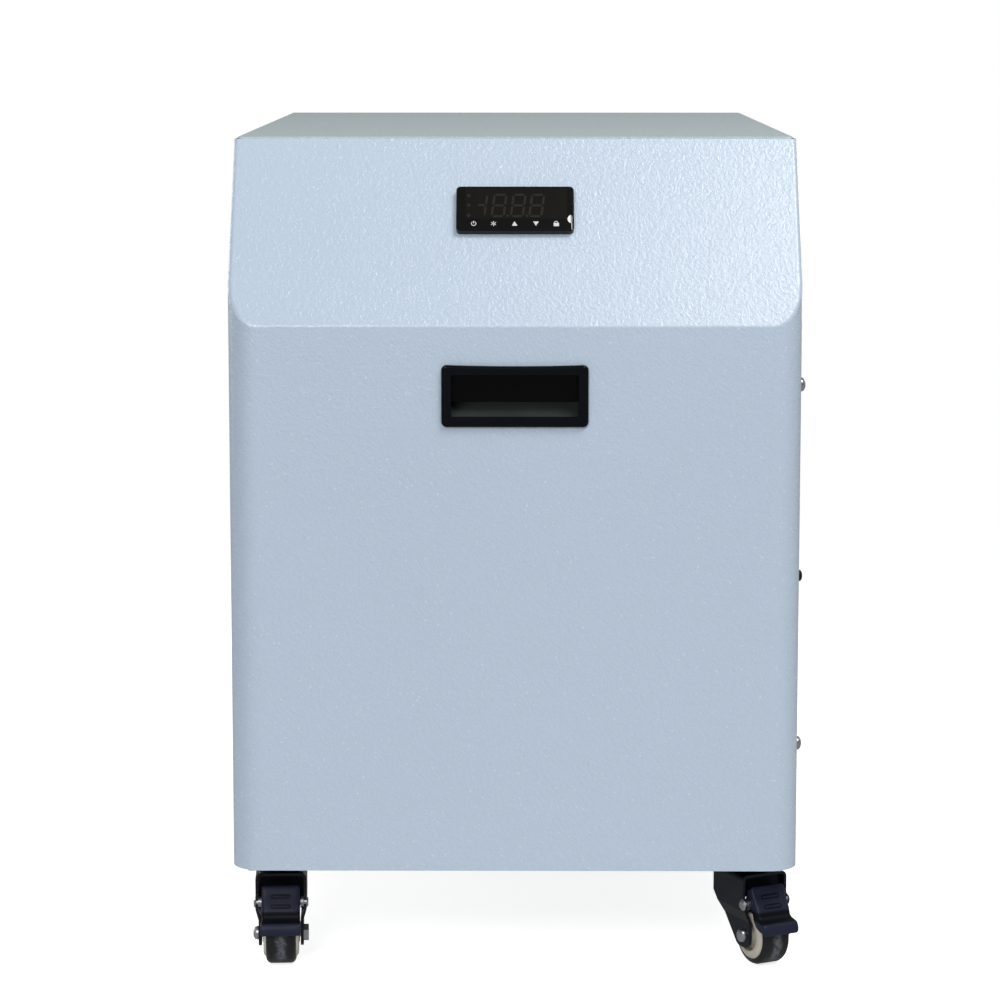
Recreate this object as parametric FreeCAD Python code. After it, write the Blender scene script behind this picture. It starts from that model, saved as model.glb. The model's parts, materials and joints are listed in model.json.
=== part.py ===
"""Portable water chiller on four swivel casters, for an ice bath.

Millimetres, +Z up. The origin is on the floor, in the middle of the overall box.
The front, with its slanted upper half, faces -Y and +X is to the right.
"""
import FreeCAD, Part
import math
import os

V = FreeCAD.Vector

# Cabinet
CAB_W = 380.0
CAB_D = 600.0
BODY_H = 486.5
SLANT_H = 119.5
SLANT_DEG = 32.5
CORNER_R = 20.0
EDGE_R = 3.0
SHEET = 1.2
SEAM_SETBACK = 23.0
SEAM_GAP = 0.6
FLANGE = 14.0
LAP = 17.0
FIT = 0.1
COVER_T = 1.5
COVER_INSET = 2.5
COVER_LIP = 10.0
PAN_T = 2.0
PAN_RIM = 18.0
POST_LEG = 20.0
POST_T = 1.5

# Casters
WHEEL_R = 20.5
TREAD_W = 20.4
CASTER_X = 160.0
CASTER_INSET = 47.0
TRAIL = 19.5
PLATE_L = 60.0
PLATE_W = 48.0
PLATE_T = 2.0
PLATE_R = 5.0
RACE_R = 15.0
RACE_DROP = 6.8
CASTER_BOLTS_L = 46.0
CASTER_BOLTS_W = 34.0
CASTER_BOLT_R = 3.0
CASTER_HEX_AF = 10.0
CASTER_HEAD_T = 3.5
CASTER_NUT_T = 5.0
FORK_W = 34.7
FORK_LEG_W = 30.5
FORK_T = 2.0
FORK_EYE_R = 8.3
FORK_BACK = 17.0
FORK_FRONT = 22.0
FORK_SHOULDER_UP = 23.5
FORK_BEND_UP = 17.5
FORK_BEND_DROP = 7.0
CROWN_UP = 42.0
KING_PIN_R = 4.0
KING_HEAD_R = 6.0
KING_HEAD_T = 2.4
RUNNING = 0.05
LOOSE = 0.2
AXLE_R = 3.0
AXLE_HEAD_R = 4.6
AXLE_HEAD_T = 3.7
AXLE_NUT_AF = 10.0
AXLE_NUT_T = 3.4
SEAT_R = 16.5
SHOULDER = 3.2
HUB_W = 25.0
HUB_R = 6.5
WEB_SETBACK = 4.5
RING_R = 11.2
RING_W = 3.0
PEDAL_W = 26.0
PEDAL_LIP_W = 27.4
PEDAL_EAR_T = 1.6
PEDAL_PIVOT_V = 22.0
PEDAL_PIVOT_UP = 22.0
PEDAL_RIB_R = 0.9
PEDAL_RIB_DROP = (-5.8, 0.2)
PEDAL_RIB_L = 11.5
RIVET_R = 2.0
RIVET_HEAD_R = 4.0
RIVET_HEAD_T = 1.2
HEADINGS = {"front_left": 3.0, "front_right": 27.0, "rear_left": -16.0, "rear_right": 12.0}
BRAKED = ("front_left", "front_right")

# Screws
SCREW_R = 2.5
SCREW_HEAD_R = 4.75
SCREW_HEAD_T = 3.7
SMALL_R = 2.0
SMALL_HEAD_R = 4.0
SMALL_HEAD_T = 3.1
SIDE_SCREW_SHARES = (0.2215, 0.5343, 0.8864)
SIDE_SCREW_SETBACK = 29.0
REAR_SCREW_SETBACK = 12.0
REAR_SCREW_L = 12.0

# Pull handle
HANDLE_W = 97.0
HANDLE_H = 41.3
HANDLE_DROP = 46.0
HANDLE_RIM_T = 3.0
HANDLE_RIM = 6.6
HANDLE_CORNER_R = 3.2
HANDLE_CUT_R = 2.0
HANDLE_FLOOR = 7.0
HANDLE_POCKET = 24.0
HANDLE_WALL = 2.0
HANDLE_RISE = 8.0

# Controller
CTRL_W = 78.5
CTRL_H = 34.0
CTRL_SHARE = 0.6034
CTRL_RIM_T = 5.0
CTRL_CUT_W = 71.0
CTRL_CUT_H = 29.0
CTRL_DEPTH = 58.0
CTRL_WINDOW_T = 1.0
CTRL_CORNER_R = 3.0
CTRL_BORDER = 1.5

# Fan and condenser
FAN_RIM = 23.0
SHROUD_POST_GAP = 2.8
SHROUD_PORT_GAP = 4.37
SHROUD_D = 88.0
SHROUD_T = 1.0
COIL_D = 44.0
COIL_CLEARANCE = 0.5
COIL_END_IN = 14.0
RAIL_W = 26.0
RAIL_FOOT = 10.0
U_BEND_R = 14.0
U_BEND_OUT = 12.0
FIN_T = 0.5
FIN_PITCH = 9.0
END_PLATE_T = 1.5
TUBE_R = 4.8
TUBE_TAIL = 10.0
PASSES = 4
PASS_INSET = 30.0
FAN_TIP_GAP = 5.0
FAN_HUB_R = 34.0
FAN_HUB_L = 30.0
FAN_HUB_GAP = 6.0
FAN_SHAFT_R = 4.0
FAN_SHAFT_L = 21.0
BLADES = 5
BLADE_T = 2.0
ROOT_CHORD = 38.0
ROOT_PITCH = 34.0
TIP_CHORD = 82.0
TIP_PITCH = 19.0
MOTOR_R = 42.0
MOTOR_L = 34.0
MOTOR_ARM_W = 18.0
MOTOR_ARM_T = 2.5
GRILLE_LAP = 13.0
GRILLE_HUB_R = 22.0
GRILLE_SPOKE_W = 8.0
GRILLE_T = 1.5
GRILLE_BARS = 5
GRILLE_BAR_W = 3.0

# Louvres
LOUVRE_L = 84.0
LOUVRE_PITCH = 20.0
LOUVRE_OPEN = 9.0
LOUVRE_PROUD = 3.2
LOUVRE_ROWS = 9
LOUVRE_Z = 46.0
LOUVRE_BACK = (70.0, 172.0)

# Water ports and power inlet
PORT_POST_GAP = 3.17
PORT_HEIGHTS = (72.0, 140.0)
PORT_R = 13.2
PORT_BORE_R = 8.0
SPIGOT_R = 10.0
PORT_FLANGE_AF = 34.0
PORT_FLANGE_T = 6.0
PORT_REACH = 28.0
PORT_TAIL = 34.0
NUT_T = 7.0
HOSE_R = 13.0
HOSE_BEND = 21.0
HOSE_PUSH = 18.0
HOSE_LEAD = 34.0
HOSE_SLOPE = 60.0
HOSE_GRIP = 10.0
HOSE_GRIP_EVAP = 6.0
INLET_HEIGHT = 250.0
INLET_W = 50.0
INLET_H = 27.0
INLET_CUT_W = 28.0
INLET_CUT_H = 21.0
INLET_DEPTH = 26.0
INLET_FACE_T = 2.5
INLET_CORNER_R = 8.0
INLET_SCREW_X = 20.0
SOCKET_W = 24.0
SOCKET_H = 16.0
SOCKET_D = 18.0
SOCKET_BEVEL = 4.0
INLET_PIN_W = 2.0
INLET_PIN_H = 4.0
INLET_PIN_BACK = 3.0
INLET_PIN_TAB = 8.0
INLET_PIN_SPOTS = ((-7.0, -2.0), (0.0, 2.0), (7.0, -2.0))

# Inside pieces
COMP_X = -100.0
COMP_SETBACK = 345.0
COMP_R = 58.0
COMP_H = 205.0
COMP_STUB = 10.0
COMP_FOOT_H = 12.0
COMP_FOOT_R = 9.0
COMP_BASE_T = 3.0
BOTTLE_R = 22.0
BOTTLE_L = 124.0
BOTTLE_UP = 30.0
BOTTLE_GAP = 5.0
STRAP_W = 12.0
STRAP_H = 18.0
TERMINAL_R = 18.0
EVAP_X = 78.0
EVAP_SETBACK = 370.0
EVAP_W = 78.0
EVAP_DEPTH = 58.0
EVAP_H = 208.0
EVAP_STUB = 20.0
EVAP_PORT_OUT = 20.0
JACKET_T = 12.0
PIPE_R = 4.0
PIPE_BEND = 12.0
PIPE_TURN_OUT = 14.0
DISCHARGE_RISE = 62.0
CAPILLARY_R = 1.6
CAPILLARY_BEND = 5.0
CAPILLARY_DROP = 20.0
DRIER_R = 10.0
DRIER_L = 96.0
DRIER_OUT = 28.0
DRIER_NECK_L = 12.0
DRIER_CONE_L = 8.0
DRIER_CLIP_W = 16.0
PUMP_R = 44.0
PUMP_L = 120.0
PUMP_HEAD_R = 50.0
PUMP_HEAD_L = 38.0
PUMP_STUB = 14.0
PUMP_FINS = 5
PUMP_FIN_STEP_DEG = 20.0
PUMP_FOOT_W = 80.0
PUMP_FOOT_L = 70.0
PUMP_FOOT_T = 3.0
PUMP_X = 78.0
PUMP_SETBACK = 122.0
BOX_W = 150.0
BOX_D = 120.0
BOX_H = 130.0
BOX_T = 3.0
GLAND_R = 9.0
GLAND_L = 14.0
GLANDS = 3
BOX_X = -92.0
BOX_SETBACK = 85.0

# Places that follow from the sizes above
CROWN_Z = WHEEL_R + CROWN_UP
PEDAL_PIVOT_Z = WHEEL_R + PEDAL_PIVOT_UP
CASTER_H = CROWN_Z + LOOSE + RACE_DROP + PLATE_T
BODY_Z = CASTER_H
TOP_Z = BODY_Z + BODY_H
FRONT_Y = HANDLE_RIM_T - (HANDLE_RIM_T + CAB_D + PORT_REACH) / 2
REAR_Y = FRONT_Y + CAB_D
HALF_W = CAB_W / 2
CREASE_H = BODY_H - SLANT_H
CREASE_Z = BODY_Z + CREASE_H
SLANT = math.radians(SLANT_DEG)
SLANT_RUN = SLANT_H * math.tan(SLANT)
HANDLE_Z = CREASE_H - HANDLE_DROP
CTRL_UP = CTRL_SHARE * SLANT_H / math.cos(SLANT)
TOP_FRONT_Y = FRONT_Y + SLANT_RUN
PAN_TOP = BODY_Z + PAN_T
INNER_X = HALF_W - SHEET
POST_X = INNER_X - POST_LEG
NUT_R = PORT_FLANGE_AF / math.sqrt(3)
PORT_X = POST_X - PORT_POST_GAP - NUT_R
SHROUD_LEFT = SHROUD_POST_GAP - POST_X
SHROUD_RIGHT = PORT_X - NUT_R - SHROUD_PORT_GAP
SHROUD_W = SHROUD_RIGHT - SHROUD_LEFT
FAN_X = (SHROUD_LEFT + SHROUD_RIGHT) / 2
FAN_OPENING_R = SHROUD_W / 2 - FAN_RIM
GRILLE_R = FAN_OPENING_R + GRILLE_LAP
FLANGE_X = INNER_X - FIT - SHEET
SHROUD_FRONT = REAR_Y - SHEET - SHROUD_D
COIL_FRONT = SHROUD_FRONT - COIL_D
COIL_Z = BODY_Z + PAN_RIM + COIL_CLEARANCE
FAN_Z = COIL_Z + SHROUD_W / 2


# Plain shapes

def block(x0, y0, z0, x1, y1, z1):
    """A box between two corners."""
    return Part.makeBox(x1 - x0, y1 - y0, z1 - z0, V(x0, y0, z0))


def rod(start, direction, radius, length):
    """A round bar from a point along a direction."""
    return Part.makeCylinder(radius, length, V(*start), V(*direction))


def tube(start, direction, radius, bore, length):
    """A round bar with a hole along its axis."""
    return rod(start, direction, radius, length).cut(rod(start, direction, bore, length))


def outline(corners, place):
    """A closed face through (a, b, radius) corners, each rounded to its radius."""
    points = [V(a, b, 0) for a, b, _ in corners]
    edges = []
    ends = []
    for i, (_, _, radius) in enumerate(corners):
        here = points[i]
        to_last = (points[i - 1] - here).normalize()
        to_next = (points[(i + 1) % len(points)] - here).normalize()
        if radius <= 0:
            ends.append((here, here, None))
            continue
        half = to_last.getAngle(to_next) / 2
        reach = radius / math.tan(half)
        middle = (to_last + to_next).normalize() * (radius / math.sin(half) - radius)
        ends.append((here + to_last * reach, here + to_next * reach, here + middle))
    for i, (start, stop, middle) in enumerate(ends):
        if middle is not None:
            edges.append(Part.Arc(place(start), place(middle), place(stop)).toShape())
        after = ends[(i + 1) % len(ends)][0]
        if stop.distanceToPoint(after) > 1e-6:
            edges.append(Part.LineSegment(place(stop), place(after)).toShape())
    return Part.Face(Part.Wire(edges))


def plan_prism(corners, z0, z1):
    """An upright prism from corners in x and y."""
    return outline(corners, lambda p: V(p.x, p.y, z0)).extrude(V(0, 0, z1 - z0))


def side_prism(corners, x0, x1):
    """A prism across the width from corners in y and z."""
    return outline(corners, lambda p: V(x0, p.x, p.y)).extrude(V(x1 - x0, 0, 0))


def front_prism(corners, y0, y1):
    """A prism from front to back from corners in x and z."""
    return outline(corners, lambda p: V(p.x, y0, p.y)).extrude(V(0, y1 - y0, 0))


def turned(profile, axis_point, axis):
    """A solid of revolution; profile holds (distance along the axis, radius, corner radius)."""
    face = outline(profile, lambda p: V(p.x, p.y, 0))
    solid = face.revolve(V(0, 0, 0), V(1, 0, 0), 360)
    solid.Placement = FreeCAD.Placement(V(*axis_point), FreeCAD.Rotation(V(1, 0, 0), V(*axis)))
    return solid


def hexagon(start, direction, across_flats, length):
    """A hexagonal bar along a direction."""
    radius = across_flats / math.sqrt(3)
    points = [V(radius * math.cos(math.radians(a)), radius * math.sin(math.radians(a)), 0)
              for a in range(0, 420, 60)]
    solid = Part.Face(Part.makePolygon(points)).extrude(V(0, 0, length))
    solid.Placement = FreeCAD.Placement(V(*start), FreeCAD.Rotation(V(0, 0, 1), V(*direction)))
    return solid


def pipe(points, radius, bend, bore=0.0):
    """A tube along straight runs joined by tangent arcs of the bend radius."""
    points = [V(*p) for p in points]

    def bar(size):
        pieces = []
        start = points[0]
        for before, here, after in zip(points, points[1:], points[2:]):
            to_last = (before - here).normalize()
            to_next = (after - here).normalize()
            half = to_last.getAngle(to_next) / 2
            reach = bend / math.tan(half)
            arc_start = here + to_last * reach
            centre = here + (to_last + to_next).normalize() * (bend / math.sin(half))
            if start.distanceToPoint(arc_start) > 1e-6:
                pieces.append(Part.makeCylinder(size, start.distanceToPoint(arc_start), start, -to_last))
            disc = Part.Face(Part.Wire(Part.makeCircle(size, arc_start, -to_last)))
            pieces.append(disc.revolve(centre, to_next.cross(to_last), 180 - math.degrees(2 * half)))
            start = here + to_next * reach
        pieces.append(Part.makeCylinder(size, start.distanceToPoint(points[-1]), start, points[-1] - start))
        return joined(pieces) if len(pieces) > 1 else pieces[0]

    return bar(radius).cut(bar(bore)) if bore else bar(radius)


def joined(shapes):
    """Shapes that are one piece."""
    return shapes[0].multiFuse(shapes[1:]).removeSplitter()


def grouped(shapes):
    """Separate solids that share one name."""
    return Part.makeCompound(shapes)


def placed(shape, origin, x_dir, y_dir):
    """A shape drawn flat, set on a plane given by its two directions."""
    x_axis = V(*x_dir)
    y_axis = V(*y_dir)
    z_axis = x_axis.cross(y_axis)
    matrix = FreeCAD.Matrix(x_axis.x, y_axis.x, z_axis.x, origin[0],
                            x_axis.y, y_axis.y, z_axis.y, origin[1],
                            x_axis.z, y_axis.z, z_axis.z, origin[2],
                            0, 0, 0, 1)
    return shape.transformed(matrix)


def on_slant(shape):
    """Moves a shape from its own plane to the middle of the controller's place on the slant."""
    up = (0, math.sin(SLANT), math.cos(SLANT))
    origin = (0, FRONT_Y + CTRL_UP * up[1], CREASE_Z + CTRL_UP * up[2])
    return placed(shape, origin, (1, 0, 0), up)


def on_front(shape):
    """Moves a shape from its own plane to the middle of the handle's place on the front."""
    return placed(shape, (0, FRONT_Y, BODY_Z + HANDLE_Z), (1, 0, 0), (0, 0, 1))


def plate_shape(width, height, radius, n0, n1):
    """A flat rounded plate centred on its own plane."""
    half_w = width / 2
    half_h = height / 2
    corners = [(-half_w, -half_h, radius), (half_w, -half_h, radius),
               (half_w, half_h, radius), (-half_w, half_h, radius)]
    return outline(corners, lambda p: V(p.x, p.y, n0)).extrude(V(0, 0, n1 - n0))


# Cabinet sheet metal

def crease_height(inset):
    """Where the slant meets the lower face on a surface set in by an inset."""
    return CREASE_Z - inset * math.tan(SLANT / 2)


def profile(inset, back, bottom, top):
    """The cabinet's side outline in y and z, set in from its front by an inset."""
    lower_y = FRONT_Y + inset
    crease_z = crease_height(inset)
    top_y = lower_y + (top - crease_z) * math.tan(SLANT)
    return [(back, bottom, 0), (lower_y, bottom, 0), (lower_y, crease_z, 0), (top_y, top, 0), (back, top, 0)]


def wrapped_solid(inset, edge_radius):
    """The filled front with its two round corners and its slant, set in by an inset."""
    half = HALF_W - inset
    radius = CORNER_R - inset
    front = FRONT_Y + inset
    back = FRONT_Y + SLANT_RUN + SEAM_SETBACK * 3
    plan = plan_prism([(-half, back, 0), (-half, front, radius), (half, front, radius), (half, back, 0)],
                      BODY_Z, TOP_Z)
    body = plan.common(side_prism(profile(inset, back, BODY_Z, TOP_Z), -half, half))
    rim = [edge for edge in body.Edges if on_slant_rim(edge, inset)]
    return body.makeFillet(edge_radius, rim)


def on_slant_rim(edge, inset):
    """Tells whether an edge lies on the slant and is not its top."""
    normal_y = -math.cos(SLANT)
    normal_z = math.sin(SLANT)
    base_z = crease_height(inset)
    for t in (0.02, 0.5, 0.98):
        p = edge.valueAt(edge.FirstParameter + t * (edge.LastParameter - edge.FirstParameter))
        if abs((p.y - FRONT_Y - inset) * normal_y + (p.z - base_z) * normal_z) > 0.01:
            return False
        if p.z > TOP_Z - 0.01:
            return False
    return True


def screw_holes(shape, spots, radius):
    """Cuts clearance holes; spots holds (start, direction, length)."""
    for start, direction, length in spots:
        shape = shape.cut(rod(start, direction, radius + FIT, length))
    return shape


def side_screw_spots(side, front):
    """Where the screws of one side panel go in, from outside."""
    y = FRONT_Y + SIDE_SCREW_SETBACK if front else REAR_Y - REAR_SCREW_SETBACK
    return [((side * HALF_W, y, BODY_Z + share * CREASE_H), (-side, 0, 0)) for share in SIDE_SCREW_SHARES]


def side_holes(side):
    """Every screw path through one side of the cabinet."""
    spots = side_screw_spots(side, False)
    if side > 0:
        spots = spots + side_screw_spots(side, True)
    return [(start, direction, LAP) for start, direction in spots]


def make_front_panel():
    """One welded and rounded front: lower face, slant, lapped side edges and a top flange."""
    shell = wrapped_solid(0.0, EDGE_R).cut(wrapped_solid(SHEET, EDGE_R - SHEET))
    back = REAR_Y
    behind = side_prism(profile(SEAM_SETBACK, back, BODY_Z - 1, TOP_Z + 1), -CAB_W, CAB_W)
    shell = shell.cut(behind)
    parts = [shell]
    for side in (-1, 1):
        x0, x1 = sorted((side * FLANGE_X, side * (FLANGE_X + SHEET)))
        lap = side_prism(profile(SEAM_SETBACK - 4, back, BODY_Z + PAN_RIM + 8, TOP_Z - FLANGE), x0, x1)
        lap = lap.cut(side_prism(profile(SEAM_SETBACK + LAP, back, BODY_Z - 1, TOP_Z + 1), x0, x1))
        x0, x1 = sorted((side * FLANGE_X, side * INNER_X))
        step = side_prism(profile(SEAM_SETBACK - 4, back, BODY_Z + PAN_RIM + 8, TOP_Z - FLANGE), x0, x1)
        step = step.cut(side_prism(profile(SEAM_SETBACK - 2.5, back, BODY_Z - 1, TOP_Z + 1), x0, x1))
        parts += [lap, step]
    flange_y = TOP_FRONT_Y + 1
    parts.append(block(-HALF_W + CORNER_R, flange_y, TOP_Z - SHEET,
                       HALF_W - CORNER_R, flange_y + FLANGE, TOP_Z))
    panel = joined(parts)
    panel = panel.cut(on_slant(plate_shape(CTRL_CUT_W, CTRL_CUT_H, 0.5, -9, 9)))
    panel = panel.cut(on_front(plate_shape(handle_cut_w(), handle_cut_h(), 2, -9, 9)))
    return screw_holes(panel, side_holes(1), SCREW_R)


def louvres(side):
    """The pressed hoods of one side panel and the slots under them."""
    hoods = []
    slots = []
    for back in LOUVRE_BACK:
        y1 = REAR_Y - back
        y0 = y1 - LOUVRE_L
        for row in range(LOUVRE_ROWS):
            z = BODY_Z + LOUVRE_Z + row * LOUVRE_PITCH
            top = z + LOUVRE_OPEN
            outer = side * HALF_W
            tip = side * (HALF_W + LOUVRE_PROUD)
            root = side * (HALF_W - SHEET)
            hood = front_prism([(outer, z, 0), (tip, z, 0), (tip, z + 2, 0), (outer, top + 2, 0)], y0, y1)
            lip = side * (HALF_W + LOUVRE_PROUD - SHEET)
            hollow = front_prism([(root, z - 1, 0), (lip, z - 1, 0), (lip, z + 2, 0), (root, top + 1, 0)],
                                 y0 + SHEET, y1 - SHEET)
            hoods.append(hood)
            slots.append(hollow)
    return hoods, slots


def make_side_panel(side):
    """A flat side with a slanted front edge, a top flange, a rear flange and louvres."""
    x0, x1 = sorted((side * INNER_X, side * HALF_W))
    back = REAR_Y - SHEET - FIT
    inset = SEAM_SETBACK + SEAM_GAP
    sheet = side_prism(profile(inset, back, BODY_Z, TOP_Z), x0, x1)
    top_y = TOP_FRONT_Y + SEAM_SETBACK + FLANGE
    fx0, fx1 = sorted((side * (INNER_X - FLANGE), side * INNER_X))
    flange = block(fx0, top_y, TOP_Z - SHEET, fx1, back - FLANGE - 2, TOP_Z)
    hoods, slots = louvres(side)
    panel = joined([sheet, flange] + hoods)
    panel = panel.cut(Part.makeCompound(slots))
    return screw_holes(panel, side_holes(side), SCREW_R)


def make_rear_panel():
    """A flat back with bent-in edges and holes for the fan, the ports and the power inlet."""
    y0 = REAR_Y - SHEET
    sheet = block(-HALF_W, y0, BODY_Z, HALF_W, REAR_Y, TOP_Z)
    parts = [sheet]
    for side in (-1, 1):
        x0, x1 = sorted((side * (INNER_X - FIT), side * (INNER_X - FIT - SHEET)))
        parts.append(block(x0, y0 - FLANGE, BODY_Z + PAN_RIM + 8, x1, REAR_Y, TOP_Z))
    parts.append(block(-INNER_X + FIT, y0 - FLANGE, TOP_Z - SHEET, INNER_X - FIT, REAR_Y, TOP_Z))
    panel = joined(parts)
    panel = panel.cut(rod((FAN_X, y0 - 1, FAN_Z), (0, 1, 0), FAN_OPENING_R, SHEET + 2))
    for height in PORT_HEIGHTS:
        panel = panel.cut(rod((PORT_X, y0 - 1, BODY_Z + height), (0, 1, 0), PORT_R + FIT, SHEET + 2))
    panel = panel.cut(block(PORT_X - INLET_CUT_W / 2, y0 - 1, BODY_Z + INLET_HEIGHT - INLET_CUT_H / 2,
                            PORT_X + INLET_CUT_W / 2, REAR_Y + 1, BODY_Z + INLET_HEIGHT + INLET_CUT_H / 2))
    panel = screw_holes(panel, rear_screw_paths(), SMALL_R)
    for side in (-1, 1):
        panel = screw_holes(panel, side_holes(side), SCREW_R)
    return panel


def rear_screw_spots():
    """Where the small screws go into the back: panel corners, grille and power inlet."""
    x = HALF_W - SHEET - POST_LEG / 2
    spots = [(sx * x, REAR_Y, z) for sx in (-1, 1) for z in (BODY_Z + 45, TOP_Z - 40)]
    reach = (GRILLE_R - 6) / math.sqrt(2)
    spots += [(FAN_X + sx * reach, REAR_Y + GRILLE_T, FAN_Z + sz * reach) for sx in (-1, 1) for sz in (-1, 1)]
    spots += [(PORT_X + sx * INLET_SCREW_X, REAR_Y + INLET_FACE_T, BODY_Z + INLET_HEIGHT) for sx in (-1, 1)]
    return spots


def rear_screw_paths():
    """The straight holes of the small screws in the back."""
    return [((x, y, z), (0, -1, 0), REAR_SCREW_L) for x, y, z in rear_screw_spots()]


def make_top_cover():
    """A flat cover with a lip that drops inside the top flanges."""
    half = HALF_W - COVER_INSET
    y0 = TOP_FRONT_Y + 0.6
    y1 = REAR_Y - COVER_INSET
    plate = block(-half, y0, TOP_Z, half, y1, TOP_Z + COVER_T)
    in_x = INNER_X - FLANGE - 1
    in_y0 = TOP_FRONT_Y + 1 + FLANGE + 1
    in_y1 = REAR_Y - SHEET - FLANGE - 1
    lip = block(-in_x, in_y0, TOP_Z - COVER_LIP, in_x, in_y1, TOP_Z + 0.5)
    lip = lip.cut(block(-in_x + SHEET, in_y0 + SHEET, TOP_Z - COVER_LIP - 1,
                        in_x - SHEET, in_y1 - SHEET, TOP_Z + 0.6))
    upright = [edge for edge in plate.Edges if abs(edge.tangentAt(edge.FirstParameter).z) > 0.9]
    plate = plate.makeFillet(EDGE_R, upright)
    return joined([plate, lip])


def make_base_pan():
    """A tray whose rim stands inside the panels, with holes for the caster bolts and feet."""
    outer = INNER_X - FIT
    front = FRONT_Y + SHEET + FIT
    back = REAR_Y - SHEET - FIT
    radius = CORNER_R - SHEET - FIT

    def tray(inset, z0, z1):
        r = radius - inset
        corners = [(-outer + inset, back - inset, 0), (-outer + inset, front + inset, r),
                   (outer - inset, front + inset, r), (outer - inset, back - inset, 0)]
        return plan_prism(corners, z0, z1)

    pan = tray(0, BODY_Z, BODY_Z + PAN_RIM).cut(tray(PAN_T, PAN_TOP, BODY_Z + PAN_RIM + 1))
    for name in HEADINGS:
        for x, y in caster_bolt_spots(name):
            pan = pan.cut(rod((x, y, BODY_Z - 1), (0, 0, 1), CASTER_BOLT_R + FIT, PAN_T + 2))
    for x, y in compressor_feet_spots():
        pan = pan.cut(rod((x, y, BODY_Z - 1), (0, 0, 1), SMALL_R + FIT, PAN_T + 2))
    return pan


def make_corner_posts():
    """Four upright angles: short ones behind the front seams, full ones at the back."""
    posts = []
    for side in (-1, 1):
        x_out = side * FLANGE_X
        y0 = FRONT_Y + SEAM_SETBACK + 2
        web = sorted((x_out, x_out - side * POST_T))
        leg = sorted((x_out, x_out - side * POST_LEG))
        front = joined([block(web[0], y0, PAN_TOP, web[1], y0 + POST_LEG, CREASE_Z),
                        block(leg[0], y0 + POST_LEG - POST_T, PAN_TOP, leg[1], y0 + POST_LEG, CREASE_Z)])
        posts.append(screw_holes(front, side_holes(side), SCREW_R - 2 * FIT) if side > 0 else front)
        x_out = side * (INNER_X - FIT - SHEET)
        y1 = REAR_Y - SHEET
        web = sorted((x_out, x_out - side * POST_T))
        leg = sorted((x_out, x_out - side * POST_LEG))
        rear = joined([block(web[0], y1 - POST_LEG, PAN_TOP, web[1], y1, TOP_Z - SHEET),
                       block(leg[0], y1 - POST_T, PAN_TOP, leg[1], y1, TOP_Z - SHEET)])
        rear = screw_holes(rear, side_holes(side), SCREW_R - 2 * FIT)
        posts.append(screw_holes(rear, rear_screw_paths(), SMALL_R - 2 * FIT))
    return grouped([post.cut(pan_rim_space()) for post in posts])


def pan_rim_space():
    """The room that the tray's rim takes up."""
    outer = INNER_X
    inner = outer - PAN_T - 2 * FIT
    front = FRONT_Y + SHEET
    back = REAR_Y - SHEET
    space = block(-outer, front, BODY_Z, outer, back, BODY_Z + PAN_RIM + FIT)
    return space.cut(block(-inner, front + PAN_T + 2 * FIT, BODY_Z - 1,
                           inner, back - PAN_T - 2 * FIT, BODY_Z + PAN_RIM + 1))


# Screws

def pan_head_screw(start, inward, shank_r, head_r, head_t, length):
    """A domed screw; it goes in from a point on the surface."""
    return turned([(-head_t, 0, 0), (-head_t, head_r * 0.45, 0), (-head_t * 0.75, head_r * 0.85, 0),
                   (-head_t * 0.35, head_r, 0), (0, head_r, 0), (0, shank_r, 0), (length, shank_r, 0),
                   (length, 0, 0)], start, inward)


def make_silver_screws():
    """Bright screws of the side panels."""
    screws = []
    for side in (-1, 1):
        spots = side_screw_spots(side, False)
        if side > 0:
            front = side_screw_spots(side, True)
            spots = spots + [front[0], front[2]]
        screws += [pan_head_screw(start, inward, SCREW_R - 2 * FIT, SCREW_HEAD_R, SCREW_HEAD_T, LAP - 9)
                   for start, inward in spots]
    return grouped(screws)


def make_black_screws():
    """The odd black screw of the right side and the small screws of the back."""
    start, inward = side_screw_spots(1, True)[1]
    screws = [pan_head_screw(start, inward, SCREW_R - 2 * FIT, SMALL_HEAD_R, SMALL_HEAD_T, LAP - 9)]
    screws += [pan_head_screw(spot, (0, -1, 0), SMALL_R - 2 * FIT, SMALL_HEAD_R, SMALL_HEAD_T, REAR_SCREW_L - 4)
               for spot in rear_screw_spots()]
    return grouped(screws)


# Pull handle and controller

def handle_cut_w():
    """Width of the handle's opening in the front."""
    return HANDLE_W - HANDLE_RIM


def handle_cut_h():
    """Height of the handle's opening in the front."""
    return HANDLE_H - HANDLE_RIM


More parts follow.
